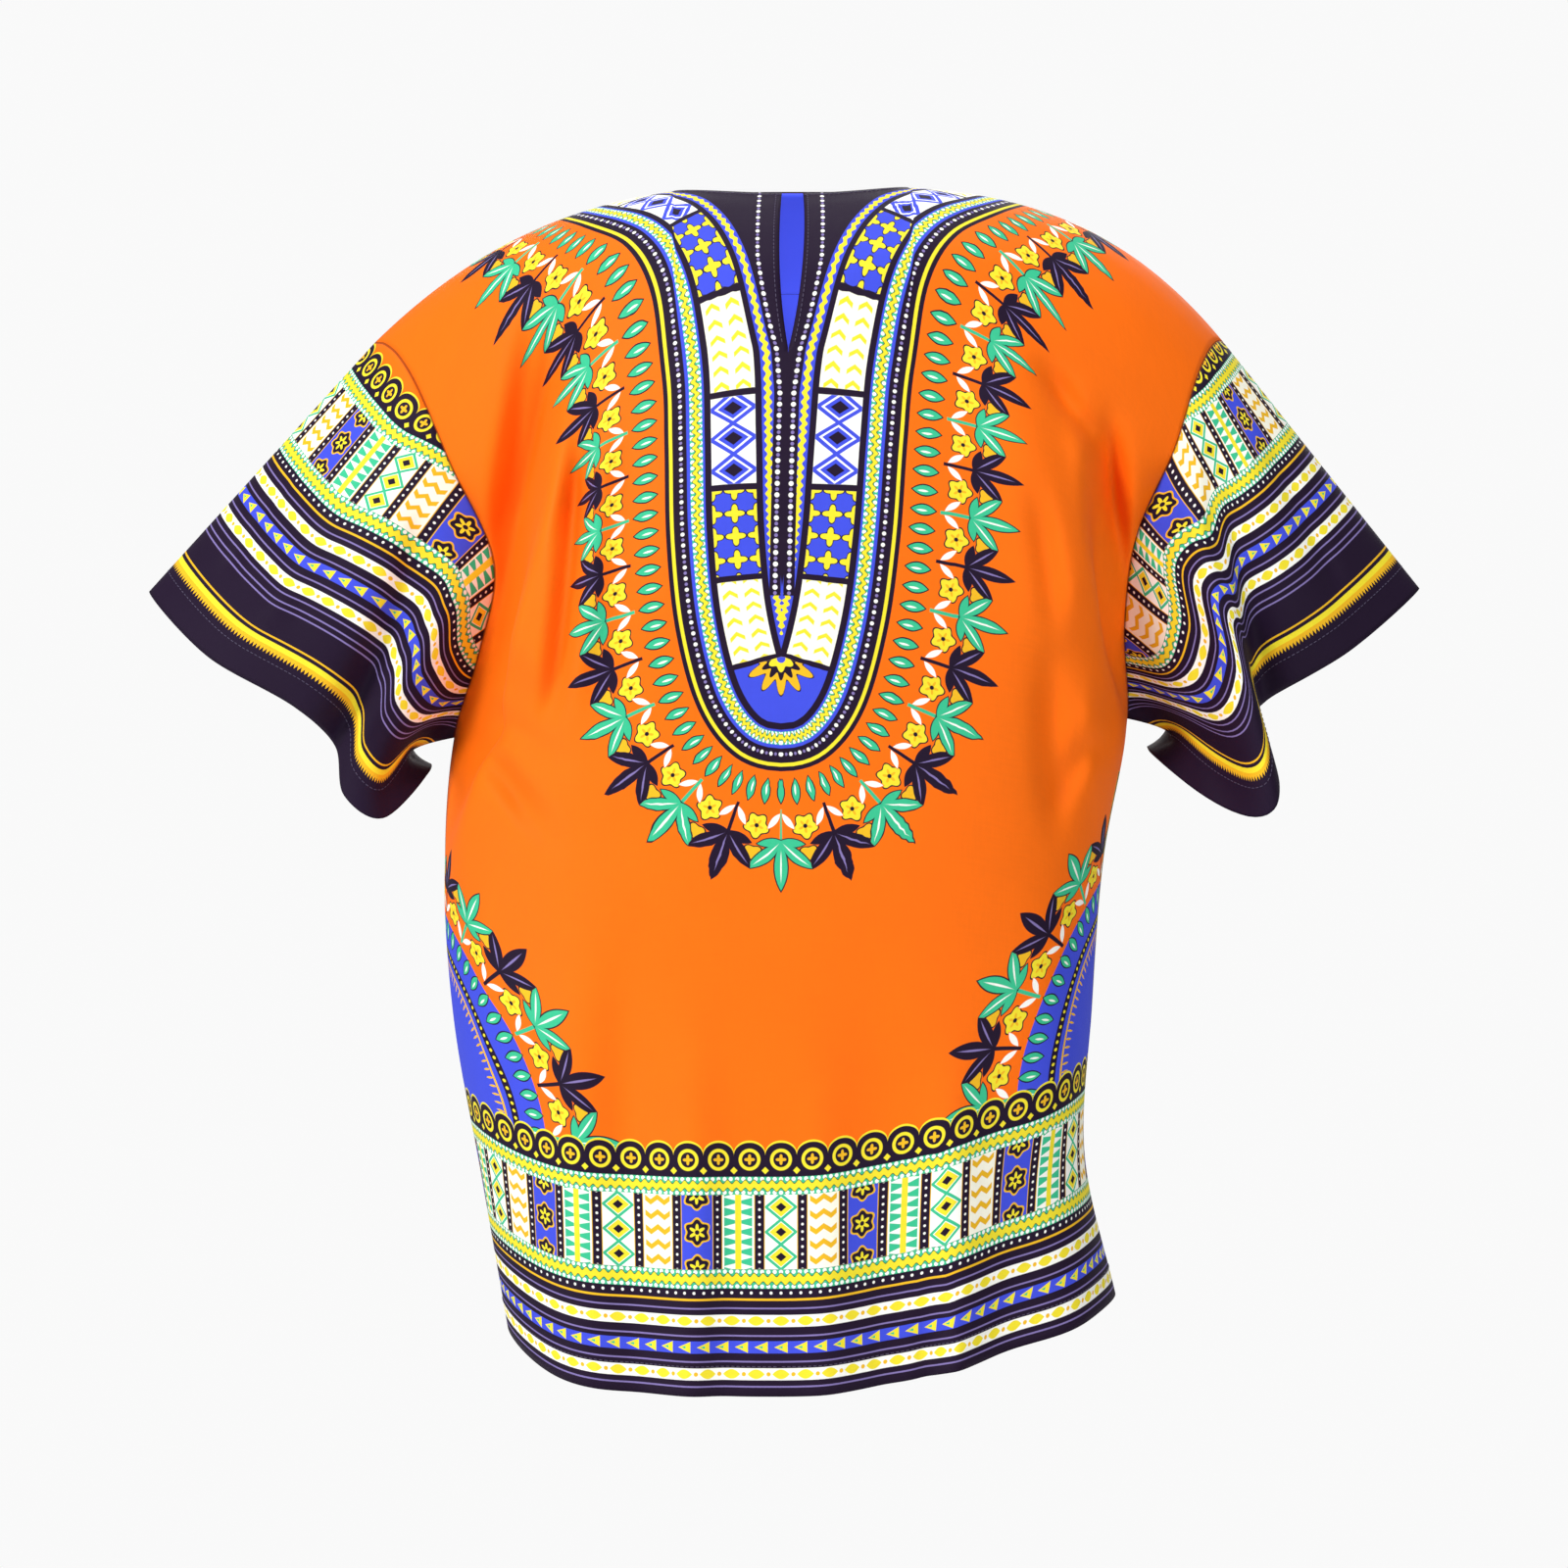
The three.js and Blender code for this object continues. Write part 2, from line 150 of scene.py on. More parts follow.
def curve_weights(knots, at):
    """How much each knot's value counts at each place of a smooth curve through uneven knots."""
    knots, at = np.asarray(knots, float), np.atleast_1d(at).astype(float)
    last = len(knots) - 1
    i = np.clip(np.searchsorted(knots, at) - 1, 0, last - 1)
    span = knots[i + 1] - knots[i]
    t = (at - knots[i]) / span
    rest = 1 - t
    weights = np.zeros((len(at), len(knots)))
    rows = np.arange(len(at))

    def count(k, amount):
        np.add.at(weights, (rows, k), amount)

    def slope(k, amount):
        low, high = np.maximum(k - 1, 0), np.minimum(k + 1, last)
        run = knots[high] - knots[low]
        count(high, amount / run)
        count(low, -amount / run)

    count(i, (1 + 2 * t) * rest**2)
    count(i + 1, t**2 * (3 - 2 * t))
    slope(i, span * t * rest**2)
    slope(i + 1, -span * t**2 * rest)
    return weights


def side_of(row, across, name):
    return np.where(across < 0, getattr(row, "left_" + name), getattr(row, "right_" + name))


def top_points(side, across):
    x = np.abs(across) * side_of(SHOULDER, across, "x")
    gap = np.maximum(0, 1 - (x / NECK_HALF) ** 2)
    ridge = side_of(SHOULDER, across, "z") * np.abs(across) ** side_of(SHOULDER, across, "fall")
    y, z = (NECK_FRONT_Y, NECK_FRONT_Z) if side == "front" else (NECK_BACK_Y, NECK_BACK_Z)
    return np.stack([x, y * np.sqrt(gap), ridge + z * gap], -1), gap


def section_points(side, row, across):
    turn = across * math.pi / 2
    wide = np.sign(across) * np.abs(np.sin(turn)) ** (2 / SQUARE)
    deep = np.abs(np.cos(turn)) ** (2 / SQUARE)
    end_x, end_z = side_of(row, across, "x"), side_of(row, across, "z")
    x = (across + (wide - across) * row.round) * np.abs(end_x)
    edge, mid = (row.front_edge, row.front_mid) if side == "front" else (row.back_edge, row.back_mid)
    mid_z = row.front_z if side == "front" else row.back_z
    bow = (1 - across**2) * (1 - row.round) + deep * row.round
    fall = np.abs(x / end_x) ** side_of(row, across, "fall")
    return np.stack([x, edge + (mid - edge) * bow, mid_z + (end_z - mid_z) * fall], -1)


def plain_points(side, across, at):
    """A panel without its folds, as an array of columns by rows by x, y, z."""
    top, gap = top_points(side, across)
    full = section_points(side, SECTIONS[0], across)
    start = NECK_TILT * np.sqrt(gap)
    knots, keys = [], []
    for share in (0, 0.15, 0.35, 0.6):
        turn = start + (math.pi / 2 - start) * share
        out = (np.sin(turn) - np.sin(start)) / (1 - np.sin(start))
        down = (np.cos(start) - np.cos(turn)) / np.cos(start)
        grown = np.stack([np.full_like(out, share), out, down], -1)
        knots.append(share * ROUNDED)
        keys.append(top + (full - top) * grown)
    for row in SECTIONS:
        knots.append(row.at)
        keys.append(section_points(side, row, across))
    return np.einsum("mk,knc->nmc", curve_weights(knots, at), np.array(keys))


def folded(folds, points, out, fade):
    x, z = points[..., 0], points[..., 2]
    moved = points.copy()
    for f in folds:
        dx, dz = f.bx - f.ax, f.bz - f.az
        long = math.hypot(dx, dz)
        along = ((x - f.ax) * dx + (z - f.az) * dz) / long**2
        off = ((x - f.ax) * -dz + (z - f.az) * dx) / long - f.bow * 4 * along * (1 - along)
        grow = smooth(along / f.grown)
        if f.fading < 1:
            grow = grow * (1 - smooth((along - f.fading) / (1 - f.fading)))
        share = grow * np.exp(-((off / f.width) ** 2)) * fade
        moved[..., 0] += out[0] * share * f.depth - dz / long * share * f.tuck
        moved[..., 1] += out[1] * share * f.depth
        moved[..., 2] += dx / long * share * f.tuck
    return moved


def body_points(side, across, at, folds=None):
    across, at = np.atleast_1d(across).astype(float), np.atleast_1d(at).astype(float)
    points = plain_points(side, across, at)
    ends = np.where(across < 0, -1.0, 1.0)
    edge_gap = plain_points("back", ends, at)[..., 1] - plain_points("front", ends, at)[..., 1]
    half = 0.5 if side == "front" else -0.5
    below = (at >= UNDERARM)[None, :]
    points[..., 1] += np.where(below, half * edge_gap * across[:, None] ** 6, 0)
    points[..., 0] += LEAN * (1 - across[:, None] ** 2) * (1 - smooth(at / UNDERARM))[None, :]
    turn = across[:, None] * math.pi / 2 * smooth((at - ROUNDED) / (UNDERARM - ROUNDED))[None, :]
    out = (np.sin(turn), (-1 if side == "front" else 1) * np.cos(turn))
    fade = (1 - np.abs(across[:, None]) ** 10) * smooth(at / 0.08)[None, :]
    if folds is None:
        folds = FRONT_FOLDS if side == "front" else BACK_FOLDS
    return folded(folds, points, out, fade)


# Narrower creases, between and inside the large folds.
FRONT_CREASES = [
    Fold(-178, -270, -196, -345, -3, -10, 9, 0.2, 0.6),
    Fold(-196, -352, -132, -430, 10, -8, 9, 0.3, 0.5),
    Fold(206, -262, 204, -350, 2, -8, 9, 0.2, 0.6),
    Fold(208, -340, 160, -400, -6, -6, 10, 0.3, 0.5),
    Fold(150, -180, 168, -300, 3, -8, 9, 0.4, 0.6),
    Fold(-30, -560, -38, -745, 2, -4, 12, 0.6, 1),
    Fold(58, -600, 62, -748, 2, -3, 9, 0.6, 1),
    Fold(-150, -60, -186, -262, 5, -19, 9, 0.5, 1),
    Fold(-128, -70, -160, -262, 5, 7, 10, 0.5, 1),
    Fold(-121, -140, -143, -352, 2, -18, 8, 0.3, 0.7),
    Fold(-106, -130, -127, -345, 2, 9, 10, 0.3, 0.7),
    Fold(-206, -330, -146, -372, 6, 7, 10, 0.3, 0.5),
    Fold(180, -120, 203, -262, -4, 8, 9, 0.4, 1),
    Fold(205, -150, 219, -262, -4, -16, 8, 0.4, 1),
    Fold(-136, -62, -172, -250, 4, -10, 6, 0.5, 1),
    Fold(-133, -205, -146, -335, 3, 8, 9, 0.4, 0.7),
    Fold(-204, -339, -150, -410, 9, -6, 8, 0.3, 0.6),
    Fold(-182, -420, -176, -600, -3, 5, 11, 0.4, 0.7),
    Fold(200, -140, 216, -240, -3, -13, 6, 0.4, 1),
    Fold(148, -108, 197, -176, 3, -12, 8, 0.5, 0.7),
    Fold(164, -280, 172, -425, -3, -10, 10, 0.4, 0.6),
    Fold(186, -300, 190, -400, 2, 6, 8, 0.4, 0.6),
    Fold(-96, -430, -88, -745, -4, -8, 17, 0.5, 1),
    Fold(-58, -480, -52, -745, 4, 6, 15, 0.5, 1),
    Fold(20, -520, 27, -745, 3, 5, 14, 0.6, 1),
    Fold(108, -500, 112, -750, -4, 8, 15, 0.5, 1),
    Fold(83, -690, 88, -748, 1, -5, 6, 0.5, 1),
    Fold(103, -684, 110, -750, -1, 5, 7, 0.5, 1),
]
BACK_CREASES = [
    Fold(-150, -70, -176, -260, 5, -16, 8, 0.5, 1),
    Fold(152, -80, 190, -250, -4, -15, 8, 0.5, 1),
    Fold(-70, -60, -10, -150, 12, -9, 11, 0.4, 0.6),
    Fold(84, -70, 30, -160, -10, 8, 11, 0.4, 0.6),
    Fold(-160, -360, -150, -700, 4, 13, 14, 0.4, 0.9),
    Fold(-12, -420, -6, -738, -3, -10, 14, 0.6, 1),
    Fold(64, -470, 70, -738, 3, 9, 13, 0.6, 1),
    Fold(140, -380, 152, -720, -4, -13, 14, 0.5, 1),
]
SLEEVE_CREASES = {
    "left": [
        Fold(-288, -150, -352, -250, 2, -5, 6, 0.3, 0.8),
        Fold(-214, -180, -286, -360, 10, -6, 7, 0.5, 1),
        Fold(-250, -140, -330, -290, 4, 5, 12, 0.4, 0.8),
    ],
    "right": [
        Fold(296, -140, 352, -262, -3, -5, 7, 0.3, 0.8),
        Fold(262, -130, 300, -330, -12, -8, 7, 0.5, 1),
        Fold(240, -200, 262, -380, -5, 6, 9, 0.5, 1),
    ],
}


def part_at_slit(points, at, half):
    """The neck slit parts the front: each half is moved aside, most at its own edge."""
    share = at / SLIT_AT
    opening = np.where(share < 1, SLIT_HALF * (1 - share**2.2) * (0.8 + 0.6 * share), 0)
    moved = points.copy()
    near = np.maximum(0, 1 - np.abs(points[..., 0]) / NECK_HALF) ** 1.5
    moved[..., 0] += half * opening[None, :] * near
    return moved


def cuff_points(side, rounds):
    rows = CUFFS[side]
    ring = [rows[-1]._replace(round=rows[-1].round - 1), *rows]
    ring += [rows[0]._replace(round=1), rows[1]._replace(round=1 + rows[1].round)]
    weights = curve_weights([r.round for r in ring], rounds)
    return weights @ np.array([[r.x, r.y, r.z] for r in ring], float)


def sleeve_points(side, rounds, along):
    sign = -1 if side == "left" else 1
    turned = rounds % 1
    at = UNDERARM * np.where(turned <= 0.5, 2 * turned, 2 - 2 * turned)
    in_front = (turned <= 0.5)[:, None]
    start = np.where(in_front, body_points("front", sign, at)[0], body_points("back", sign, at)[0])
    end = cuff_points(side, turned)
    points = start[:, None] + (end - start)[:, None] * along[None, :, None]
    forward = np.sin(2 * math.pi * turned)[:, None]
    under = np.maximum(0, -np.cos(2 * math.pi * turned))[:, None]
    bulge = (4 * along * (1 - along) * SLEEVE_BULGE)[None, :]
    points[..., 0] += sign * under * bulge
    points[..., 1] -= forward * bulge
    fade = np.maximum(0, forward) ** 0.5 * smooth(along / 0.25)[None, :]
    points = folded(SLEEVE_FOLDS[side], points, (0, -1), fade)
    return folded(SLEEVE_CREASES[side], points, (0, -1), fade)


def creased(side, points, across, at):
    """A panel's points with its fine creases, which leave its edges where they are."""
    creases = FRONT_CREASES if side == "front" else BACK_CREASES
    fade = (1 - np.abs(across[:, None]) ** 6) * smooth(at / 0.1)[None, :]
    return folded(creases, points, (0, -1 if side == "front" else 1), fade)


# ---- where the print falls on the cloth
Knot = namedtuple("Knot", "across down")
YOKE_OUTLINE = [
    Knot(-28, 432),
    Knot(0, 440),
    Knot(28, 432),
    Knot(50, 404),
    Knot(64, 356),
    Knot(71, 300),
    Knot(74, 240),
    Knot(77, 190),
    Knot(86, 138),
    Knot(108, 92),
    Knot(138, 50),
    Knot(152, 6),
    Knot(155, -60),
]
FRINGE_MIDDLE = 36  # how far outside the yoke the fringe keeps its true pitch


def arcs(points, axis):
    """Distance run along an axis of a grid."""
    steps = np.linalg.norm(np.diff(points, axis=axis), axis=2)
    first = np.zeros_like(np.take(steps, [0], axis))
    return np.concatenate([first, np.cumsum(steps, axis)], axis)


def cloth_map(side, points, across, at):
    """Millimetres across from the middle of a panel, and down from the shoulder line."""
    top, _ = top_points(side, across)
    ridge = side_of(SHOULDER, across, "z") * np.abs(across) ** side_of(SHOULDER, across, "fall")
    down = arcs(points, 1) + np.hypot(top[:, 1], top[:, 2] - ridge)[:, None]
    flat = points.copy()
    flat[..., 1] *= np.sqrt(smooth((at - 0.1) / 0.2))[None, :]
    over = arcs(flat, 0)
    middle = int(np.argmin(np.abs(across)))
    return np.stack([over - over[middle], down], -1)


def yoke_map(cloth, outward=0):
    """Distance along a line that lies outward of the yoke's outline, and inward from the outline."""
    knots = np.array(YOKE_OUTLINE, float)
    last, steps = len(knots) - 1, 12  # steps from one knot to the next
    outline = curve_weights(np.arange(last + 1), np.linspace(0, last, steps * last + 1)) @ knots
    ahead = np.gradient(outline, axis=0)
    ahead /= np.linalg.norm(ahead, axis=1, keepdims=True)
    outline += outward * np.stack([-ahead[:, 1], ahead[:, 0]], -1)
    a, b = outline[:-1], outline[1:]
    run = b - a
    long = np.linalg.norm(run, axis=1)
    begins = np.concatenate([[0], np.cumsum(long)[:-1]])
    begins -= begins[steps]  # the second knot is the yoke's tip
    p = np.stack([np.abs(cloth[..., 0]).reshape(-1), cloth[..., 1].reshape(-1)], -1)
    offset = p[:, None] - a[None]
    share = np.clip((offset * run).sum(-1) / long**2, 0, 1)
    gap = offset - share[..., None] * run
    away = np.linalg.norm(gap, axis=-1)
    nearest = away.argmin(1)
    rows = np.arange(len(p))
    side = np.sign(run[nearest, 0] * gap[rows, nearest, 1] - run[nearest, 1] * gap[rows, nearest, 0])
    s = begins[nearest] + share[rows, nearest] * long[nearest]
    return np.stack([s, -side * away[rows, nearest] - outward], -1).reshape(cloth.shape)


def panel_maps(side, points, across, at):
    cloth = cloth_map(side, points, across, at)
    above_hem = cloth[:, -1:, 1] - cloth[..., 1]
    over = cloth[..., 0]
    from_seam = np.where(across[:, None] < 0, over - over[:1], over[-1:] - over)
    return {
        "cloth": cloth,
        "yoke": yoke_map(cloth),
        "fringe": yoke_map(cloth, FRINGE_MIDDLE),
        "border": np.stack([cloth[..., 0], above_hem], -1),
        "side": np.stack([from_seam, above_hem], -1),
    }


def sleeve_maps(points):
    down = arcs(points, 1)
    around = np.repeat(arcs(points, 0)[:, -1:], points.shape[1], 1)
    return {"cloth": np.stack([around, down], -1), "border": np.stack([around, down[:, -1:] - down], -1)}


# ---- shells of cloth
Grid = namedtuple("Grid", "points maps thick")
Sheet = namedtuple("Sheet", "name grids turned inset")


def cell_normals(points, turned):
    normal = np.cross(points[1:, 1:] - points[:-1, :-1], points[:-1, 1:] - points[1:, :-1])
    return -normal if turned else normal


def place_keys(points):
    return np.round(points.reshape(-1, 3) * KEYS_PER_MM).astype(np.int64)


def shared_normals(sheets):
    """For each sheet's grids, normals that sheets meeting at a seam have in common."""
    grids = [(sheet, grid) for sheet in sheets for grid in sheet.grids]
    keys = np.concatenate([place_keys(grid.points) for _, grid in grids])
    sums = []
    for sheet, grid in grids:
        n = np.zeros_like(grid.points)
        cell = cell_normals(grid.points, sheet.turned)
        for rows in (slice(0, -1), slice(1, None)):
            for columns in (slice(0, -1), slice(1, None)):
                n[rows, columns] += cell
        sums.append(n.reshape(-1, 3))
    _, place = np.unique(keys, axis=0, return_inverse=True)
    place = place.reshape(-1)
    total = np.zeros((place.max() + 1, 3))
    np.add.at(total, place, np.concatenate(sums))
    total /= np.maximum(np.linalg.norm(total, axis=1, keepdims=True), 1e-9)
    normals, start = {}, 0
    for sheet, grid in grids:
        count = grid.points.shape[0] * grid.points.shape[1]
        own = total[place[start:start + count]].reshape(grid.points.shape)
        normals.setdefault(sheet.name, []).append(own)
        start += count
    return normals


def new_object(name, points, faces):
    mesh = bpy.data.meshes.new(name)
    mesh.from_pydata((np.asarray(points) * MM).tolist(), [], faces)
    piece = bpy.data.objects.new(name, mesh)
    bpy.context.scene.collection.objects.link(piece)
    return piece


def shell(sheet, normals, right_side, wrong_side):
    """A closed thin shell: the cloth's right side, its wrong side, and its cut or turned edges."""
    points = np.concatenate([g.points.reshape(-1, 3) for g in sheet.grids])
    normal = np.concatenate([n.reshape(-1, 3) for n in normals])
    thick = np.concatenate([g.thick.reshape(-1) for g in sheet.grids])
    _, first, place = np.unique(place_keys(points), axis=0, return_index=True, return_inverse=True)
    place = place.reshape(-1)
    outer = points[first] - normal[first] * sheet.inset
    inner = outer - normal[first] * thick[first][:, None]
    corners, start = [], 0
    for grid in sheet.grids:
        n, m = grid.points.shape[:2]
        at = np.arange(n * m).reshape(n, m) + start
        start += n * m
        quad = np.stack([at[:-1, :-1], at[1:, :-1], at[1:, 1:], at[:-1, 1:]], -1).reshape(-1, 4)
        corners.append(quad[:, ::-1] if sheet.turned else quad)
    corners = np.concatenate(corners)
    faces = place[corners]
    whole = np.array([len(set(face)) == 4 for face in faces.tolist()])
    corners, faces = corners[whole], faces[whole]
    count = len(first)
    from_corner, to_corner = corners.reshape(-1), np.roll(corners, -1, 1).reshape(-1)
    code = place[from_corner] * count + place[to_corner]
    back_code = place[to_corner] * count + place[from_corner]
    rim = ~np.isin(code, back_code)
    a, b = from_corner[rim], to_corner[rim]
    rim_corners = np.stack([b, a, a, b], -1)
    rim_faces = np.stack([place[b], place[a], place[a] + count, place[b] + count], -1)
    all_faces = np.concatenate([faces, faces[:, ::-1] + count, rim_faces])
    all_corners = np.concatenate([corners, corners[:, ::-1], rim_corners]).reshape(-1)
    piece = new_object(sheet.name + "_cloth", np.concatenate([outer, inner]), all_faces.tolist())
    mesh = piece.data
    mesh.shade_smooth()
    for name in sheet.grids[0].maps:
        values = np.concatenate([g.maps[name].reshape(-1, 2) for g in sheet.grids])[all_corners]
        layer = mesh.uv_layers.new(name=name)
        layer.data.foreach_set("uv", values.astype(np.float32).reshape(-1))
    mesh.materials.append(right_side)
    mesh.materials.append(wrong_side)
    material = np.zeros(len(all_faces), np.int32)
    material[len(faces):2 * len(faces)] = 1
    mesh.polygons.foreach_set("material_index", material)
    sharp = mesh.attributes.new("sharp_face", "BOOLEAN", "FACE")
    flags = np.zeros(len(all_faces), bool)
    flags[2 * len(faces):] = True
    sharp.data.foreach_set("value", flags)
    mesh.update()
    return piece


# ---- rows of stitches
def row_at(points, normals, distance, value):
    """Where each of a grid's lines is a given distance from an edge: places and normals."""
    past = (distance[:, :-1] - value) * (distance[:, 1:] - value) <= 0
    lines = np.nonzero(past.any(1))[0]
    at = past[lines].argmax(1)
    low, high = distance[lines, at], distance[lines, at + 1]
    share = ((value - low) / np.where(high == low, 1, high - low))[:, None]
    place = points[lines, at] * (1 - share) + points[lines, at + 1] * share
    normal = normals[lines, at] * (1 - share) + normals[lines, at + 1] * share
    return place, normal / np.linalg.norm(normal, axis=1, keepdims=True)


def stitch_row(place, normal, pitch=3.2, length=2.3, radius=0.3, lift=0.1):
    """Short rounded threads laid end to end along a row, as points and faces."""
    run = np.concatenate([[0], np.cumsum(np.linalg.norm(np.diff(place, axis=0), axis=1))])
    middles = np.arange(pitch / 2, run[-1] - pitch / 2, pitch)

    def along(values, at):
        return np.stack([np.interp(at, run, values[:, i]) for i in range(3)], -1)

    ahead = along(place, middles + length / 2) - along(place, middles - length / 2)
    ahead /= np.linalg.norm(ahead, axis=1, keepdims=True)
    up = along(normal, middles)
    aside = np.cross(ahead, up)
    centre = along(place, middles) + up * lift
    sides = 6
    turn = np.arange(sides) * 2 * math.pi / sides
    rings = [(-0.5, 0.35), (-0.32, 1), (0.32, 1), (0.5, 0.35)]
    points = np.stack([
        np.stack([
            centre + ahead * length * at + (aside * math.cos(t) + up * math.sin(t)) * radius * wide
            for t in turn
        ], 1)
        for at, wide in rings
    ], 1)
    faces = []
    for k in range(len(rings) - 1):
        for i in range(sides):
            j = (i + 1) % sides
            faces.append([k * sides + i, k * sides + j, (k + 1) * sides + j, (k + 1) * sides + i])
    faces.append(list(range(sides))[::-1])
    faces.append([(len(rings) - 1) * sides + i for i in range(sides)])
    step = sides * len(rings)
    all_faces = [[v + n * step for v in face] for n in range(len(middles)) for face in faces]
    return points.reshape(-1, 3), all_faces


def stitches(name, rows, thread):
    points, faces, start = [], [], 0
    for place, normal in rows:
        row_points, row_faces = stitch_row(place, normal)
        points.append(row_points)
        faces += [[v + start for v in face] for face in row_faces]
        start += len(row_points)
    piece = new_object(name, np.concatenate(points), faces)
    piece.data.shade_smooth()
    piece.data.materials.append(thread)
    return piece


# ---- numbers and inks worked out over the cloth
ORANGE = (0.93, 0.152, 0.002, 1)
DARK = (0.012, 0.004, 0.02, 1)
BLUE = (0.05, 0.075, 0.68, 1)
YELLOW = (0.86, 0.72, 0.03, 1)
GOLD = (0.83, 0.46, 0.015, 1)
GREEN = (0.04, 0.5, 0.26, 1)
WHITE = (0.93, 0.93, 0.88, 1)
CREAM = (0.94, 0.92, 0.78, 1)
LILAC = (0.22, 0.17, 0.42, 1)
UNDYED = (0.6, 0.36, 0.25, 1)
WRONG_SIDE_FADE = 0.16  # how much of the undyed thread shows on the wrong side
# Painted shade: a dark tint laid along the seams, where their grooves would fall into shadow.
SEAM_PAINTED_SHADE = (0.1, 0.012, 0.004, 1)
SEAM_SHADOW = 0.8  # millimetres from a seam over which painted shade darkens the cloth
SOFT = 0.35  # millimetres over which the print's edges blur


def feed(tree, value, slot):
    """Give a slot a worked number, what a socket puts out, or a constant."""
    if isinstance(value, Worked):
        value = value.socket
    if isinstance(value, bpy.types.NodeSocket):
        tree.links.new(value, slot)
    else:
        slot.default_value = value


class Worked:
    """A number worked out at every point of the cloth."""

    def __init__(self, tree, socket):
        self.tree, self.socket = tree, socket

    def math(self, operation, *others, clamp=False):
        node = self.tree.nodes.new("ShaderNodeMath")
        node.operation = operation
        node.use_clamp = clamp
        for slot, value in zip(node.inputs, (self, *others)):
            feed(self.tree, value, slot)
        return Worked(self.tree, node.outputs[0])

    def __add__(self, other):
        return self.math("ADD", other)

    __radd__ = __add__

    def __sub__(self, other):
        return self.math("SUBTRACT", other)

    def __rsub__(self, other):
        return self.math("MULTIPLY_ADD", -1.0, other)

    def __mul__(self, other):
        return self.math("MULTIPLY", other)

    __rmul__ = __mul__

    def __abs__(self):
        return self.math("ABSOLUTE")

    def least(self, other):
        return self.math("MINIMUM", other)

    def most(self, other):
        return self.math("MAXIMUM", other)

    def repeat(self, pitch):
        """The same number as if counted from the middle of its repeat."""
        return self.math("WRAP", pitch / 2, -pitch / 2)

    def cos(self):
        return self.math("COSINE")


def away(x, y):
    return (x * x + y * y).math("SQRT")


def inside(gap, soft=SOFT):
    """1 where gap is above 0, and 0 where it is below, with a soft edge."""
    return gap.math("MULTIPLY_ADD", 1 / soft, 0.5, clamp=True)


def band(x, low, high):
    return inside((high - low) / 2 - abs(x - (low + high) / 2))


def disc(x, y, radius):
    return inside(radius - away(x, y))


def lobed(x, y, radius, depth, lobes):
    """How far inside a flower's outline a point is."""
    return radius + depth * (x.math("ARCTAN2", y) * lobes).cos() - away(x, y)


def leaf(x, y, base, tip, half):
    """How far inside a pointed leaf that runs from base to tip a point is."""
    middle, long = (base + tip) / 2, (tip - base) / 2
    t = (y - middle) * (1 / long)
    return (1 - t * t) * half - abs(x)


def turned_by(x, y, degrees):
    c, s = math.cos(math.radians(degrees)), math.sin(math.radians(degrees))
    return x * c - y * s, y * c + x * s


class Print:
    """A colour that inks are laid over in turn."""

    def __init__(self, tree, colour):
        self.tree, self.colour = tree, colour

    def ink(self, mask, colour):
        node = self.tree.nodes.new("ShaderNodeMix")
        node.data_type = "RGBA"
        for slot, value in ((0, mask), (6, self.colour), (7, colour)):
            feed(self.tree, value, node.inputs[slot])
        self.colour = node.outputs[2]
        return self

    def fill(self, shape, colour, where=None):
        """Ink the inside of a shape, or only where it lies in a mask."""
        mask = inside(shape)
        return self.ink(mask if where is None else mask.least(where), colour)


def new_group(name, numbers):
    """A shader group with number inputs, a ground colour to print on, and a printed colour out."""
    tree = bpy.data.node_groups.new(name, "ShaderNodeTree")
    for number in numbers:
        tree.interface.new_socket(number, in_out="INPUT", socket_type="NodeSocketFloat")
    tree.interface.new_socket("Ground", in_out="INPUT", socket_type="NodeSocketColor")
    tree.interface.new_socket("Printed", in_out="OUTPUT", socket_type="NodeSocketColor")
    entry = tree.nodes.new("NodeGroupInput")
    values = [Worked(tree, entry.outputs[n]) for n in numbers]
    return tree, values, Print(tree, entry.outputs["Ground"])


def finish_group(tree, printed):
    leave = tree.nodes.new("NodeGroupOutput")
    tree.links.new(printed.colour, leave.inputs["Printed"])
    return tree


def placed(tree, group, numbers, printed):
    """Print a group's design over what is printed so far."""
    node = tree.nodes.new("ShaderNodeGroup")
    node.node_tree = group
    for slot, value in zip(node.inputs, [*numbers, printed.colour]):
        feed(tree, value, slot)
    printed.colour = node.outputs["Printed"]
    return printed


# ---- the print's parts
def rickrack_group():
    """A narrow braid: green edges with white pips, and a yellow wave down the middle."""
    tree, (along, up, half), printed = new_group("rickrack braid", ["Along", "Off middle", "Half width"])
    printed.fill(half - abs(up), GREEN)
    pip = away(along.repeat(3.8), abs(up) - half + 1.3)
    printed.fill(1.25 - pip, WHITE)
    wave = up - (along * (2 * math.pi / 5.4)).cos() * 1.1
    printed.fill(half * 0.5 - abs(wave), DARK)
    printed.fill(half * 0.5 - 0.5 - abs(wave), YELLOW)
    return finish_group(tree, printed)


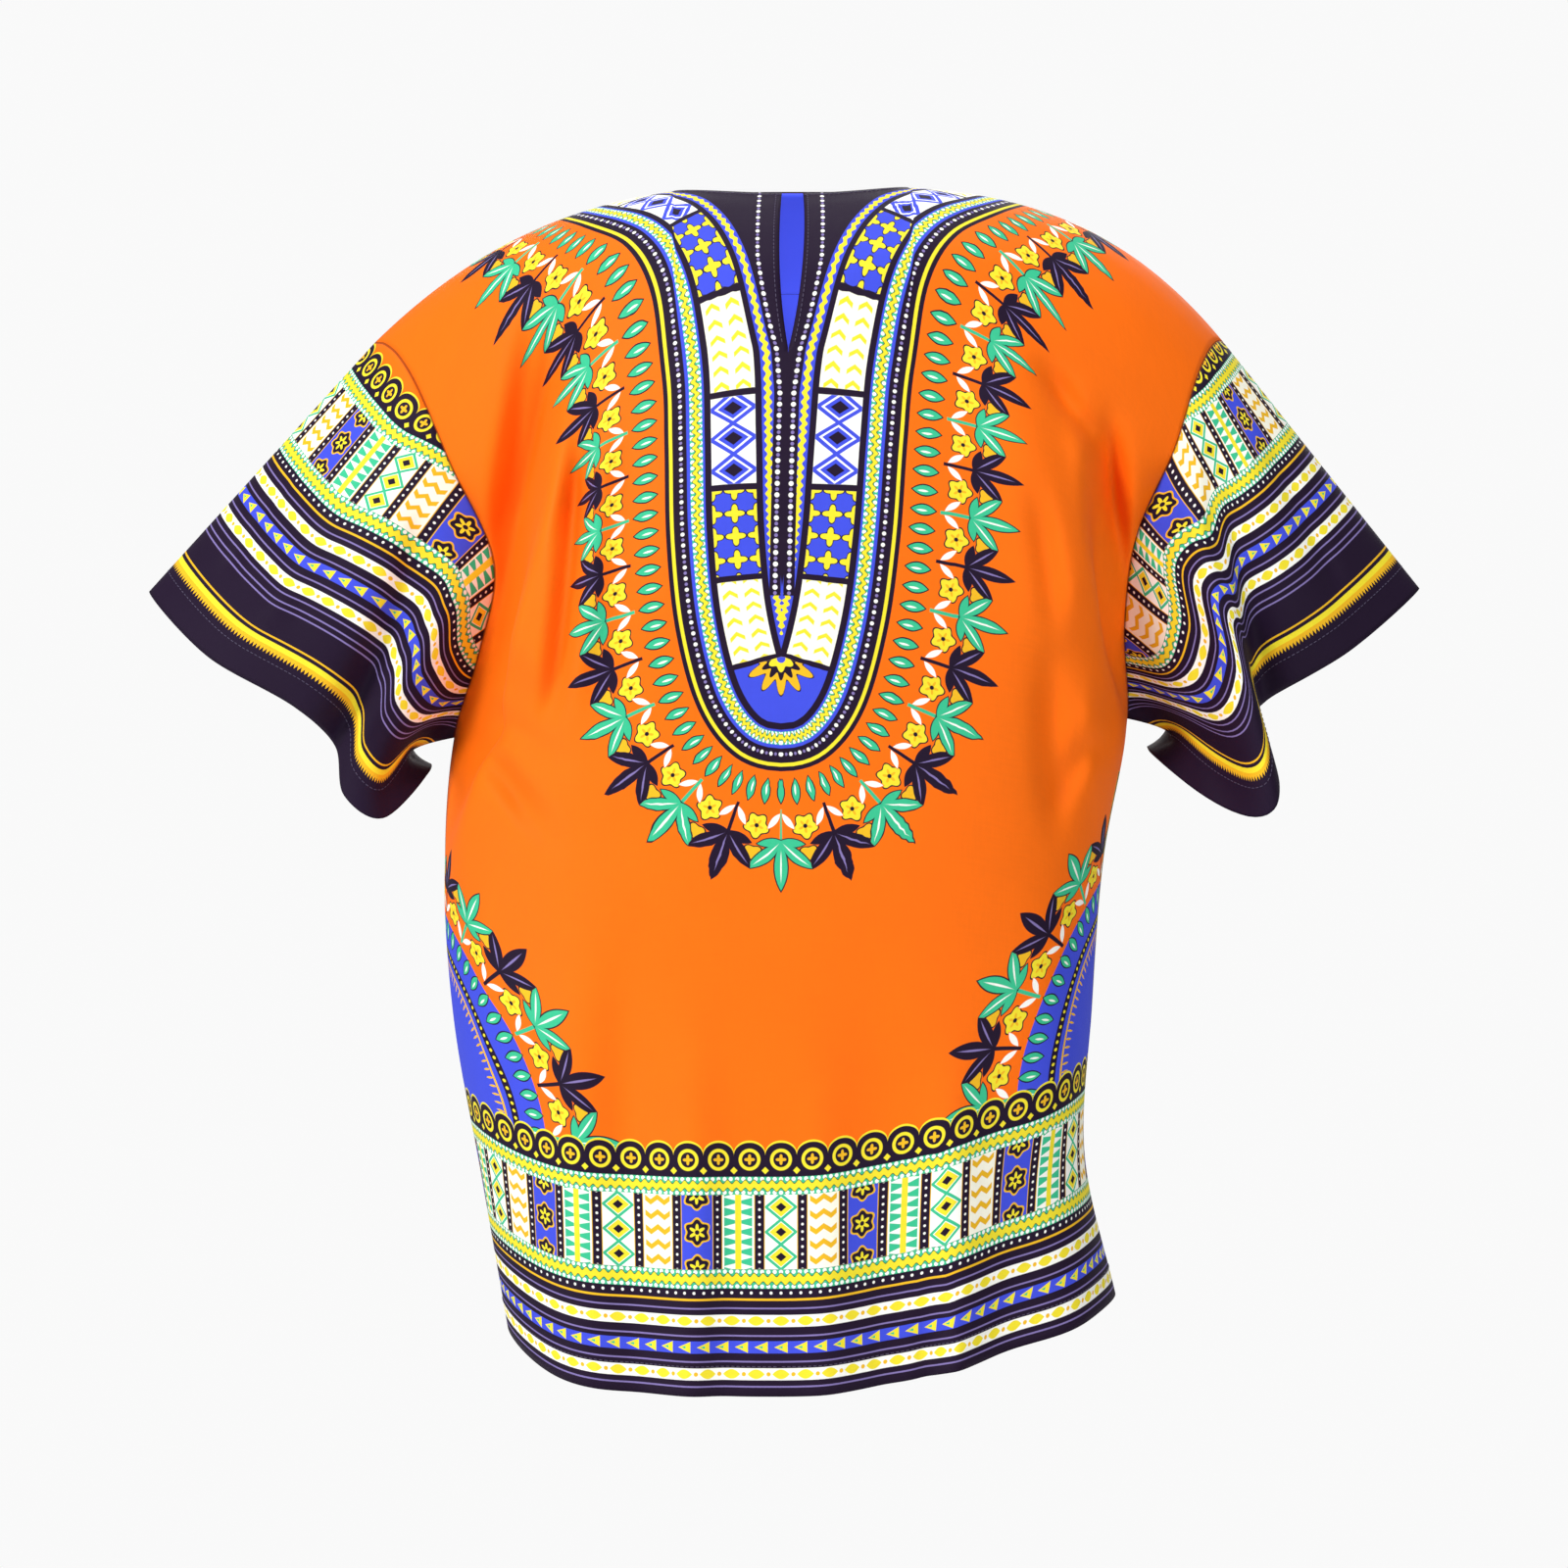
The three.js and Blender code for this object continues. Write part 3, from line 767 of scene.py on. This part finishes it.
def stripes(printed, along, up):
    """The narrow stripes next to the hem or cuff."""
    for at in (6, 21, 36.5, 53):
        printed.ink(band(up, at - 0.5, at + 0.5), LILAC)
    printed.ink(band(up, 57.6, 59), GOLD)
    printed.ink(disc(along.repeat(6), up - 62.3, 0.9), WHITE)
    for middle in (13.5, 45.5):
        printed.ink(band(up, middle - 3.6, middle + 3.6), WHITE)
        big, small = along.repeat(15), (along + 7.5).repeat(15)
        printed.fill(leaf(up - middle, big, -5.2, 5.2, 2.9), YELLOW)
        printed.ink(disc(small, up - middle, 1.3), GOLD)
    printed.ink(band(up, 26, 33.4), BLUE)
    flag = along.repeat(12)
    printed.fill((4 - abs(flag)).least((flag + 4) * 0.42 - abs(up - 29.7)), YELLOW)
    printed.fill((2 - abs(flag + 1)).least((flag + 2) * 0.3 - abs(up - 29.7)), GREEN)


def tiles(printed, along, up):
    """A row of upright tiles between dark dotted bars."""
    repeat, tile = 104.0, 26.0
    low, high = 76.5, 121.5
    tile_row = band(up, low, high)
    rise = up - (low + high) / 2
    printed.ink(tile_row, WHITE)

    def kind(k):
        x = (along - k * tile).repeat(repeat)
        return x, inside(tile / 2 - abs(x)).least(tile_row)

    x, here = kind(0)
    rhomb = abs(x) * (1 / 9.0) + abs(rise.repeat(15)) * (1 / 7.5)
    printed.fill(abs(rhomb - 1) * -9 + 1.3, GREEN, here)
    printed.fill((0.78 - rhomb) * 9, YELLOW, here)
    printed.fill((0.36 - rhomb) * 9, DARK, here)
    x, here = kind(1)
    printed.ink(here, CREAM)
    scale = rise.repeat(9) - abs(abs(x) - 4.6) * 0.7
    printed.ink(inside(1.7 - abs(scale + 0.6)).least(inside(8.4 - abs(x))).least(here), GOLD)
    x, here = kind(2)
    printed.ink(here, BLUE)
    rose = rise.repeat(22)
    printed.fill(lobed(x, rose, 8.1, 0.9, 6), GOLD, here)
    printed.fill(lobed(x, rose, 6.9, 0.9, 6), DARK, here)
    printed.fill(lobed(x, rose, 3.6, 1.6, 6), YELLOW, here)
    printed.ink(disc(x, rose, 1.4).least(here), DARK)
    x, here = kind(3)
    comb = rise.repeat(6)
    printed.fill((8.6 - abs(x)).least(abs(x) * 0.26 + 0.5 - abs(comb)), GREEN, here)
    printed.fill(1.9 - abs(x), YELLOW, here)
    bar = (along + tile / 2).repeat(tile)
    printed.fill(3.3 - abs(bar), GOLD, tile_row)
    printed.fill(2.8 - abs(bar), DARK, tile_row)
    printed.ink(disc(bar, rise.repeat(4.5), 0.8).least(band(up, low + 0.5, high - 0.5)), WHITE)


def border_group(rickrack):
    """The deep border, counted up from the hem."""
    tree, (along, up), printed = new_group("deep border", ["Along", "Up"])
    arch = (90 - along.repeat(19) * along.repeat(19)).most(0).math("SQRT")
    top = 146.5 + arch * 0.8
    printed.fill(top - up, YELLOW)
    printed.fill(top - up - 1.3, DARK)
    stripes(printed, along, up)
    tiles(printed, along, up)
    placed(tree, rickrack, [along, up - 70.6, 5.7], printed)
    placed(tree, rickrack, [along, up - 126.8, 5.4], printed)
    ring = away(along.repeat(19), up - 142.6)
    printed.fill(1 - abs(ring - 5.6), YELLOW)
    star = lobed(along.repeat(19), up - 142.6, 2.3, 0.9, 4)
    printed.fill(star, GOLD)
    between = (along + 9.5).repeat(19)
    printed.fill(2.2 - abs(between) - abs(up - 136), YELLOW)
    return finish_group(tree, printed)


def fringe_group():
    """Pods, flowers and sprigs that stand outward from a line."""
    tree, (along, out), printed = new_group("leafy fringe", ["Along", "Out"])
    pod = along.repeat(12.4)
    body = leaf(pod, out, 5, 20, 3.1)
    printed.fill(body + 0.9, DARK)
    printed.fill(body, GREEN)
    printed.fill(leaf(pod + 0.5, out, 8, 15, 0.7), WHITE)
    flower = (along + 15.5).repeat(31)
    middle = out - 34
    petals = lobed(flower, middle, 6.6, 1.1, 5)
    printed.fill(petals + 0.9, DARK)
    printed.fill(petals, YELLOW)
    printed.fill(lobed(flower, middle, 2.4, 1.9, 5), GOLD)
    printed.ink(disc(flower, middle, 1.3), DARK)
    second = out - 50
    bud = lobed(flower, second, 3.7, 0.9, 3)
    printed.fill(bud + 0.8, DARK)
    printed.fill(bud, GOLD)
    x = along.repeat(31)
    dark_turn = inside(abs(along.repeat(62)) - 15.5)
    stem = inside((1.1 - abs(x)).least(out - 23).least(46 - out))
    small_x, small_y = turned_by(abs(x), out - 24, 38)
    leaflet = leaf(small_x, small_y, 2, 14, 1.9)
    printed.fill(leaflet + 0.5, ORANGE)
    printed.fill(leaflet, WHITE)
    side_x, side_y = turned_by(abs(x), out - 42, 42)
    leaves = leaf(x, out, 42, 72, 3.6).most(leaf(side_x, side_y, 0, 25, 3.3))
    low_x, low_y = turned_by(abs(x), out - 42, 78)
    leaves = leaves.most(leaf(low_x, low_y, 0, 14, 2.4))
    veins = leaf(x, out, 45, 67, 0.55).most(leaf(side_x, side_y, 3, 21, 0.5))
    for turn, fill, vein in ((dark_turn, DARK, LILAC), (1 - dark_turn, GREEN, WHITE)):
        printed.ink(stem.least(turn), fill)
        printed.fill(leaves + 0.7, DARK, turn)
        printed.fill(leaves, fill, turn)
        printed.fill(veins, vein, turn)
    return finish_group(tree, printed)


def yoke_group(rickrack):
    """The yoke: bands that follow its outline, a row of filled panels, and a dotted middle."""
    names = ["Along", "In", "Across", "Down"]
    tree, (along, deep, across, down), printed = new_group("yoke", names)
    printed.fill(deep, DARK)
    printed.ink(band(deep, 2.8, 5), YELLOW)
    printed.ink(disc(along.repeat(7), deep - 10.2, 1.25), WHITE)
    printed.ink(disc((along + 3.5).repeat(7), deep - 10.2, 1), LILAC)
    printed.ink(band(deep, 13.8, 25), BLUE)
    placed(tree, rickrack, [along, deep - 19.8, 3.9], printed)
    field = band(deep, 29, 56)
    x = deep - 42.5
    first, cell = 84.0, 59.0

    def panel(k):
        return band(along, first + k * cell + 2, first + (k + 1) * cell - 2).least(field)

    for k in (0, 3, 6):
        here = panel(k)
        printed.ink(here, CREAM)
        row, column = along.repeat(9.5), abs(x) - 6.6
        chevron = 1.5 - abs(row + abs(column) * 0.75 - 1.2)
        printed.fill(chevron.least(4.6 - abs(column)), YELLOW, here)
    for k in (1, 4):
        here = panel(k)
        printed.ink(here, BLUE)
        flower = lobed(x.repeat(13.4), (along - 5).repeat(15), 4.4, 1.6, 4)
        printed.fill(flower + 0.8, DARK, here)
        printed.fill(flower, YELLOW, here)
    for k in (2, 5):
        here = panel(k)
        printed.ink(here, WHITE)
        rhomb = abs(x.repeat(26.8)) * (1 / 13.4) + abs((along + 3).repeat(19.6)) * (1 / 9.8)
        printed.fill(abs(rhomb - 1) * -10 + 1.5, BLUE, here)
        printed.fill((0.7 - rhomb) * 10, BLUE, here)
        printed.fill((0.42 - rhomb) * 10, DARK, here)
    end = inside(along - first - 7 * cell - 2).least(field)
    printed.ink(end, BLUE)
    printed.fill(leaf((along + x * 0.5).repeat(8), x.repeat(13), -6, 6, 1.9), WHITE, end)
    foot = inside(first - 2 - along).least(inside(deep - 29))
    printed.ink(foot, BLUE)
    height = down - 372
    rays = lobed(across, height, 17.5, 4.5, 12)
    printed.fill(rays + 0.9, DARK, foot)
    printed.fill(rays, GOLD, foot)
    printed.fill(lobed(across, height, 11, 2.2, 12), DARK, foot)
    printed.fill(lobed(across, height, 6.8, 1.4, 6), YELLOW, foot)
    printed.ink(disc(across, height, 2.6).least(foot), BLUE)
    core = inside(deep - 58).least(inside(along - first))
    printed.ink(core, DARK)
    printed.ink(band(deep, 60, 67.6).least(core), BLUE)
    inner = band(deep, 61, 66.6).least(core)
    wave = deep - 63.8 - (along * (2 * math.pi / 5.4)).cos() * 0.8
    printed.fill(1.7 - abs(wave), YELLOW, inner)
    printed.fill(deep - 69.5, DARK, core)
    shift = (down - 120).math("MULTIPLY", 1 / 90, clamp=True)
    column = abs(across) - 13.5 + shift * 9.3
    rows = inside(334 - down).least(inside(deep - 58))
    printed.fill(3.4 - abs(column), DARK, rows)
    printed.ink(disc(column, down.repeat(7), 1.5).least(rows), WHITE)
    printed.ink(disc(column, (down + 3.5).repeat(7), 1.1).least(rows), LILAC)
    return finish_group(tree, printed)


def medallion_group(fringe):
    """A half-round medallion that stands on the border at a side seam."""
    tree, (from_seam, above_hem), printed = new_group("side medallion", ["From seam", "Above hem"])
    height = (above_hem - 150) * 1.16
    reach = away(from_seam, height)
    along = height.math("ARCTAN2", from_seam) * 118
    printed.fill(132 - reach, BLUE)
    placed(tree, fringe, [along, reach - 112], printed)
    printed.ink(band(reach, 104, 110), DARK)
    printed.ink(disc(along.repeat(5.6), reach - 107, 1.3), YELLOW)
    printed.ink(band(reach, 97.5, 99.5), GOLD)
    printed.fill(leaf(along.repeat(7), reach, 90, 98, 1), GOLD)
    return finish_group(tree, printed)


def weave_group():
    """Plain weave: thread relief, and the slight unevenness of spun cotton."""
    tree = bpy.data.node_groups.new("plain weave", "ShaderNodeTree")
    tree.interface.new_socket("Cloth", in_out="INPUT", socket_type="NodeSocketVector")
    tree.interface.new_socket("Relief", in_out="OUTPUT", socket_type="NodeSocketFloat")
    tree.interface.new_socket("Shade", in_out="OUTPUT", socket_type="NodeSocketFloat")
    entry = tree.nodes.new("NodeGroupInput")
    split = tree.nodes.new("ShaderNodeSeparateXYZ")
    tree.links.new(entry.outputs["Cloth"], split.inputs[0])
    warp, weft = Worked(tree, split.outputs[0]), Worked(tree, split.outputs[1])
    thread = 2 * math.pi / 0.62
    relief = (warp * thread).cos() * (weft * thread).cos()

    def noise(scale, detail, stretch):
        mapping = tree.nodes.new("ShaderNodeMapping")
        mapping.inputs["Scale"].default_value = stretch
        tree.links.new(entry.outputs["Cloth"], mapping.inputs["Vector"])
        node = tree.nodes.new("ShaderNodeTexNoise")
        node.inputs["Scale"].default_value = scale
        node.inputs["Detail"].default_value = detail
        tree.links.new(mapping.outputs[0], node.inputs["Vector"])
        return Worked(tree, node.outputs["Fac"])

    slub = noise(0.5, 3, (0.12, 1, 1)) + noise(0.5, 3, (1, 0.12, 1))
    cloud = noise(0.02, 4, (1, 1, 1))
    leave = tree.nodes.new("NodeGroupOutput")
    tree.links.new((relief * 0.35 + slub * 0.6).socket, leave.inputs["Relief"])
    tree.links.new((0.9 + slub * 0.06 + cloud * 0.1).socket, leave.inputs["Shade"])
    return tree


# ---- materials
def uv_pair(tree, name):
    node = tree.nodes.new("ShaderNodeUVMap")
    node.uv_map = name
    split = tree.nodes.new("ShaderNodeSeparateXYZ")
    tree.links.new(node.outputs[0], split.inputs[0])
    return node, Worked(tree, split.outputs[0]), Worked(tree, split.outputs[1])


def cotton(name, design, groups, wrong=False, rough=0.62):
    """Printed cotton. design(tree) gives its printed colour, and the weave shades and roughens it."""
    material = bpy.data.materials.new(name)
    material.use_nodes = True
    tree = material.node_tree
    shader = tree.nodes["Principled BSDF"]
    printed = design(tree)
    if wrong:
        printed.ink(WRONG_SIDE_FADE, UNDYED)
    uv, _, _ = uv_pair(tree, "cloth")
    weave = tree.nodes.new("ShaderNodeGroup")
    weave.node_tree = groups["weave"]
    tree.links.new(uv.outputs[0], weave.inputs["Cloth"])
    shade = tree.nodes.new("ShaderNodeVectorMath")
    shade.operation = "SCALE"
    feed(tree, printed.colour, shade.inputs[0])
    tree.links.new(weave.outputs["Shade"], shade.inputs["Scale"])
    tree.links.new(shade.outputs[0], shader.inputs["Base Color"])
    roughness = Worked(tree, weave.outputs["Relief"]) * 0.12 + (rough - 0.06)
    tree.links.new(roughness.socket, shader.inputs["Roughness"])
    shader.inputs["Specular IOR Level"].default_value = 0.13
    shader.inputs["Sheen Weight"].default_value = 0.02
    shader.inputs["Sheen Roughness"].default_value = 0.4
    bump = tree.nodes.new("ShaderNodeBump")
    bump.inputs["Strength"].default_value = 0.25
    bump.inputs["Distance"].default_value = 0.0002
    tree.links.new(weave.outputs["Relief"], bump.inputs["Height"])
    tree.links.new(bump.outputs[0], shader.inputs["Normal"])
    return material


def body_design(groups, strip=False):
    def design(tree):
        printed = Print(tree, ORANGE)
        _, across, down = uv_pair(tree, "cloth")
        _, along, deep = uv_pair(tree, "yoke")
        _, fringe_along, fringe_in = uv_pair(tree, "fringe")
        _, hem_along, above_hem = uv_pair(tree, "border")
        _, from_seam, _ = uv_pair(tree, "side")
        placed(tree, groups["fringe"], [fringe_along, -1 * fringe_in], printed)
        placed(tree, groups["yoke"], [along, deep, across, down], printed)
        placed(tree, groups["medallion"], [from_seam, above_hem], printed)
        if strip:
            right = inside(across).least(inside(30 - from_seam)).least(band(above_hem, 140, 330))
            printed.ink(right, YELLOW)
            printed.ink(right.least(inside(28.5 - from_seam)), DARK)
            printed.ink(right.least(disc(from_seam - 20, above_hem.repeat(12), 3.8)), GOLD)
            printed.ink(right.least(disc(from_seam - 20, above_hem.repeat(12), 2.3)), DARK)
        placed(tree, groups["border"], [hem_along, above_hem], printed)
        # Painted shade: the cloth darkens next to its side seams and armholes.
        return printed.ink(inside(SEAM_SHADOW - from_seam) * 0.6, SEAM_PAINTED_SHADE)

    return design


def sleeve_design(groups):
    def design(tree):
        printed = Print(tree, ORANGE)
        _, along, up = uv_pair(tree, "border")
        placed(tree, groups["border"], [along, up - CUFF_BAND], printed)
        printed.fill(CUFF_BAND - up, DARK)
        for at in (CUFF_BAND + 0.5, CUFF_BAND - 3.5):
            printed.ink(band(up, at - 0.5, at + 0.5), LILAC)
        feather = along.repeat(2.6) * 2.6
        teeth = inside((up - 22 - abs(feather)).least(30.5 - up))
        printed.ink(teeth, GOLD)
        printed.ink(band(up, 27.5, 31), YELLOW)
        printed.ink(band(up, 33.4, 34.6), GOLD)
        _, _, from_armhole = uv_pair(tree, "cloth")
        # Painted shade: the sleeve darkens next to its armhole seam.
        return printed.ink(inside(SEAM_SHADOW - from_armhole) * 0.6, SEAM_PAINTED_SHADE)

    return design


def facing_design(tree):
    _, _, down = uv_pair(tree, "cloth")
    seam = 138
    return Print(tree, BLUE).ink(band(down, seam - 0.4, seam + 0.4), DARK)


# ---- camera, light and stage
def camera_and_light():
    scene = bpy.context.scene
    camera = bpy.data.objects.new("camera", bpy.data.cameras.new("camera"))
    camera.data.sensor_width = 36
    camera.data.lens = 131.7
    camera.location = (0.0018, -3.6, -0.375)
    camera.rotation_euler = (math.pi / 2, 0, 0)
    scene.collection.objects.link(camera)
    scene.camera = camera
    scene.view_settings.view_transform = "Standard"
    Lamp = namedtuple("Lamp", "name place aim size power")
    for lamp in (
        Lamp("key", (-1.7, -2.4, 1.9), (0, 0, -0.35), 0.9, 98),
        Lamp("fill", (1.9, -3.0, 0.3), (0, 0, -0.4), 2.0, 42),
        Lamp("flank", (-3.0, -0.9, -0.6), (0, 0, -0.5), 1.4, 30),
        Lamp("top", (0.1, 0.3, 2.0), (0, 0, -0.3), 1.6, 22),
        Lamp("behind", (0.4, 2.6, 0.9), (0, 0, -0.3), 2.4, 40),
    ):
        light = bpy.data.lights.new(lamp.name, "AREA")
        light.shape = "DISK"
        light.size = lamp.size
        light.energy = lamp.power
        holder = bpy.data.objects.new(lamp.name, light)
        holder.location = lamp.place
        aim = [a - b for a, b in zip(lamp.aim, lamp.place)]
        holder.rotation_euler = mathutils.Vector(aim).to_track_quat("-Z", "Y").to_euler()
        scene.collection.objects.link(holder)
    world = bpy.data.worlds.new("studio")
    world.use_nodes = True
    background = world.node_tree.nodes["Background"]
    background.inputs["Color"].default_value = (1, 1, 1, 1)
    rays = world.node_tree.nodes.new("ShaderNodeLightPath")
    seen = Worked(world.node_tree, rays.outputs["Is Camera Ray"])
    world.node_tree.links.new((seen * 0.68 + 0.27).socket, background.inputs["Strength"])
    scene.world = world


def plain_floor():
    """A pale floor, well below the hanging shirt."""
    reach, low, sides = 2600, -1450, 96
    rim = [2 * math.pi * k / sides for k in range(sides)]
    corners = [(reach * math.cos(t), reach * math.sin(t), low) for t in rim]
    piece = new_object("floor", corners, [list(range(sides))])
    paper = bpy.data.materials.new("pale floor")
    paper.use_nodes = True
    shader = paper.node_tree.nodes["Principled BSDF"]
    shader.inputs["Base Color"].default_value = (0.86, 0.86, 0.85, 1)
    shader.inputs["Roughness"].default_value = 0.9
    piece.data.materials.append(paper)


# ---- the shirt
def body_columns(half, edge):
    """Columns of half a panel, with one at the corner of the neck."""
    corner = NECK_HALF / edge
    outer, inner = np.linspace(1, corner, 61), np.linspace(corner, 0, 29)
    found = np.concatenate([outer[:-1], inner])
    return -found if half < 0 else found[::-1]


ARMHOLE_ROWS = 88
BODY_ROWS = 102
armhole_rows = np.linspace(0, UNDERARM, ARMHOLE_ROWS + 1)
panel_rows = np.concatenate([armhole_rows, np.linspace(UNDERARM, 1, BODY_ROWS + 1)[1:]])
left_columns = body_columns(-1, -SHOULDER.left_x)
right_columns = body_columns(1, SHOULDER.right_x)
panel_columns = np.concatenate([left_columns, right_columns[1:]])
left_count = len(left_columns)


def doubled(above_edge):
    """The cloth's thickness, twice as much where it is turned up."""
    return np.where(above_edge < HEM_TURNED, 2 * CLOTH, CLOTH)


def panel_grids(side):
    plain = body_points(side, panel_columns, panel_rows)
    points = creased(side, plain, panel_columns, panel_rows)
    maps = panel_maps(side, points, panel_columns, panel_rows)
    thick = doubled(maps["border"][..., 1])
    if side == "back":
        return [Grid(points, maps, thick)]
    grids = []
    for half, part in ((-1, slice(0, left_count)), (1, slice(left_count - 1, None))):
        own = {name: values[part] for name, values in maps.items()}
        grids.append(Grid(part_at_slit(points[part], panel_rows, half), own, thick[part]))
    return grids


def sleeve_grids(side):
    along = np.linspace(0, 1, 57)
    points = sleeve_points(side, np.linspace(0, 1, 2 * ARMHOLE_ROWS + 1), along)
    maps = sleeve_maps(points)
    return [Grid(points, maps, doubled(maps["border"][..., 1]))]


front = Sheet("front", panel_grids("front"), True, 0)
back = Sheet("back", panel_grids("back"), False, 0)
sleeves = [
    Sheet("sleeve_left", sleeve_grids("left"), True, 0),
    Sheet("sleeve_right", sleeve_grids("right"), False, 0),
]
wide = np.abs(panel_columns) < 0.5
long = ARMHOLE_ROWS * 7 // 12 + 1
back_grid = back.grids[0]
facing = Sheet(
    "back_neck_facing",
    [Grid(
        back_grid.points[wide, :long],
        {"cloth": back_grid.maps["cloth"][wide, :long]},
        back_grid.thick[wide, :long],
    )],
    False,
    CLOTH + FACING_GAP,
)

rickrack = rickrack_group()
groups = {"weave": weave_group(), "fringe": fringe_group(), "border": border_group(rickrack)}
groups["yoke"] = yoke_group(rickrack)
groups["medallion"] = medallion_group(groups["fringe"])
front_cotton = cotton("printed cotton front", body_design(groups, strip=True), groups)
back_cotton = cotton("printed cotton back", body_design(groups), groups)
wrong_cotton = cotton("printed cotton wrong side", body_design(groups), groups, wrong=True, rough=0.8)
sleeve_cotton = cotton("border cotton", sleeve_design(groups), groups)
sleeve_wrong = cotton("border cotton wrong side", sleeve_design(groups), groups, wrong=True, rough=0.8)
blue_cotton = cotton("blue facing cotton", facing_design, groups, rough=0.7)
glowing_facing_shader = blue_cotton.node_tree.nodes["Principled BSDF"]
glowing_facing_shader.inputs["Emission Color"].default_value = BLUE  # painted light: the facing glows blue so that it looks bright inside the shirt
glowing_facing_shader.inputs["Emission Strength"].default_value = 0.8

thread = bpy.data.materials.new("dark sewing thread")
thread.use_nodes = True
thread_shader = thread.node_tree.nodes["Principled BSDF"]
strands = thread.node_tree.nodes.new("ShaderNodeTexNoise")
strands.inputs["Scale"].default_value = 900
tint = Print(thread.node_tree, (0.02, 0.012, 0.04, 1))
tint.ink(Worked(thread.node_tree, strands.outputs["Fac"]), (0.09, 0.07, 0.14, 1))
thread.node_tree.links.new(tint.colour, thread_shader.inputs["Base Color"])
thread_shader.inputs["Roughness"].default_value = 0.55

normals = shared_normals([front, back, *sleeves, facing])

Made = namedtuple("Made", "sheet right wrong slot flat area")
made = [
    Made(front, front_cotton, wrong_cotton, "printed_cotton", (0.60, 0.82), 0.42),
    Made(back, back_cotton, wrong_cotton, "printed_cotton", (0.60, 0.82), 0.42),
    Made(sleeves[0], sleeve_cotton, sleeve_wrong, "border_cotton", (0.56, 0.22), 0.10),
    Made(sleeves[1], sleeve_cotton, sleeve_wrong, "border_cotton", (0.56, 0.22), 0.10),
    Made(facing, blue_cotton, blue_cotton, "blue_facing_cotton", (0.26, 0.20), 0.045),
]


def hem_rows(sheet):
    return [
        row_at(g.points, n, g.maps["border"][..., 1], HEM_STITCHED)
        for g, n in zip(sheet.grids, normals[sheet.name])
    ]


def neck_rows(sheet):
    rows_found = []
    for g, n in zip(sheet.grids, normals[sheet.name]):
        near = np.abs(g.points[:, 0, 0]) < NECK_HALF
        down = g.maps["cloth"][near][..., 1]
        rows_found.append(row_at(g.points[near], n[near], down - down[:, :1], EDGE_STITCHED))
    return rows_found


def slit_rows():
    last = int(np.searchsorted(panel_rows, SLIT_AT))
    found = []
    for g, n, half in zip(front.grids, normals["front"], (-1, 1)):
        lines = [np.swapaxes(a[:, :last], 0, 1) for a in (g.points, n, g.maps["cloth"][..., 0])]
        found.append(row_at(*lines, half * EDGE_STITCHED))
    return found


seams = {
    "front": hem_rows(front) + neck_rows(front) + slit_rows(),
    "back": hem_rows(back) + neck_rows(back),
    "sleeve_left": hem_rows(sleeves[0]),
    "sleeve_right": hem_rows(sleeves[1]),
}
for item in made:
    name = item.sheet.name
    piece = shell(item.sheet, normals[name], item.right, item.wrong)
    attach(piece, "root")
    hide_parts(name)
    if name in seams:
        row = stitches(name + "_stitches", seams[name], thread)
        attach(row, "root")

camera_and_light()
plain_floor()
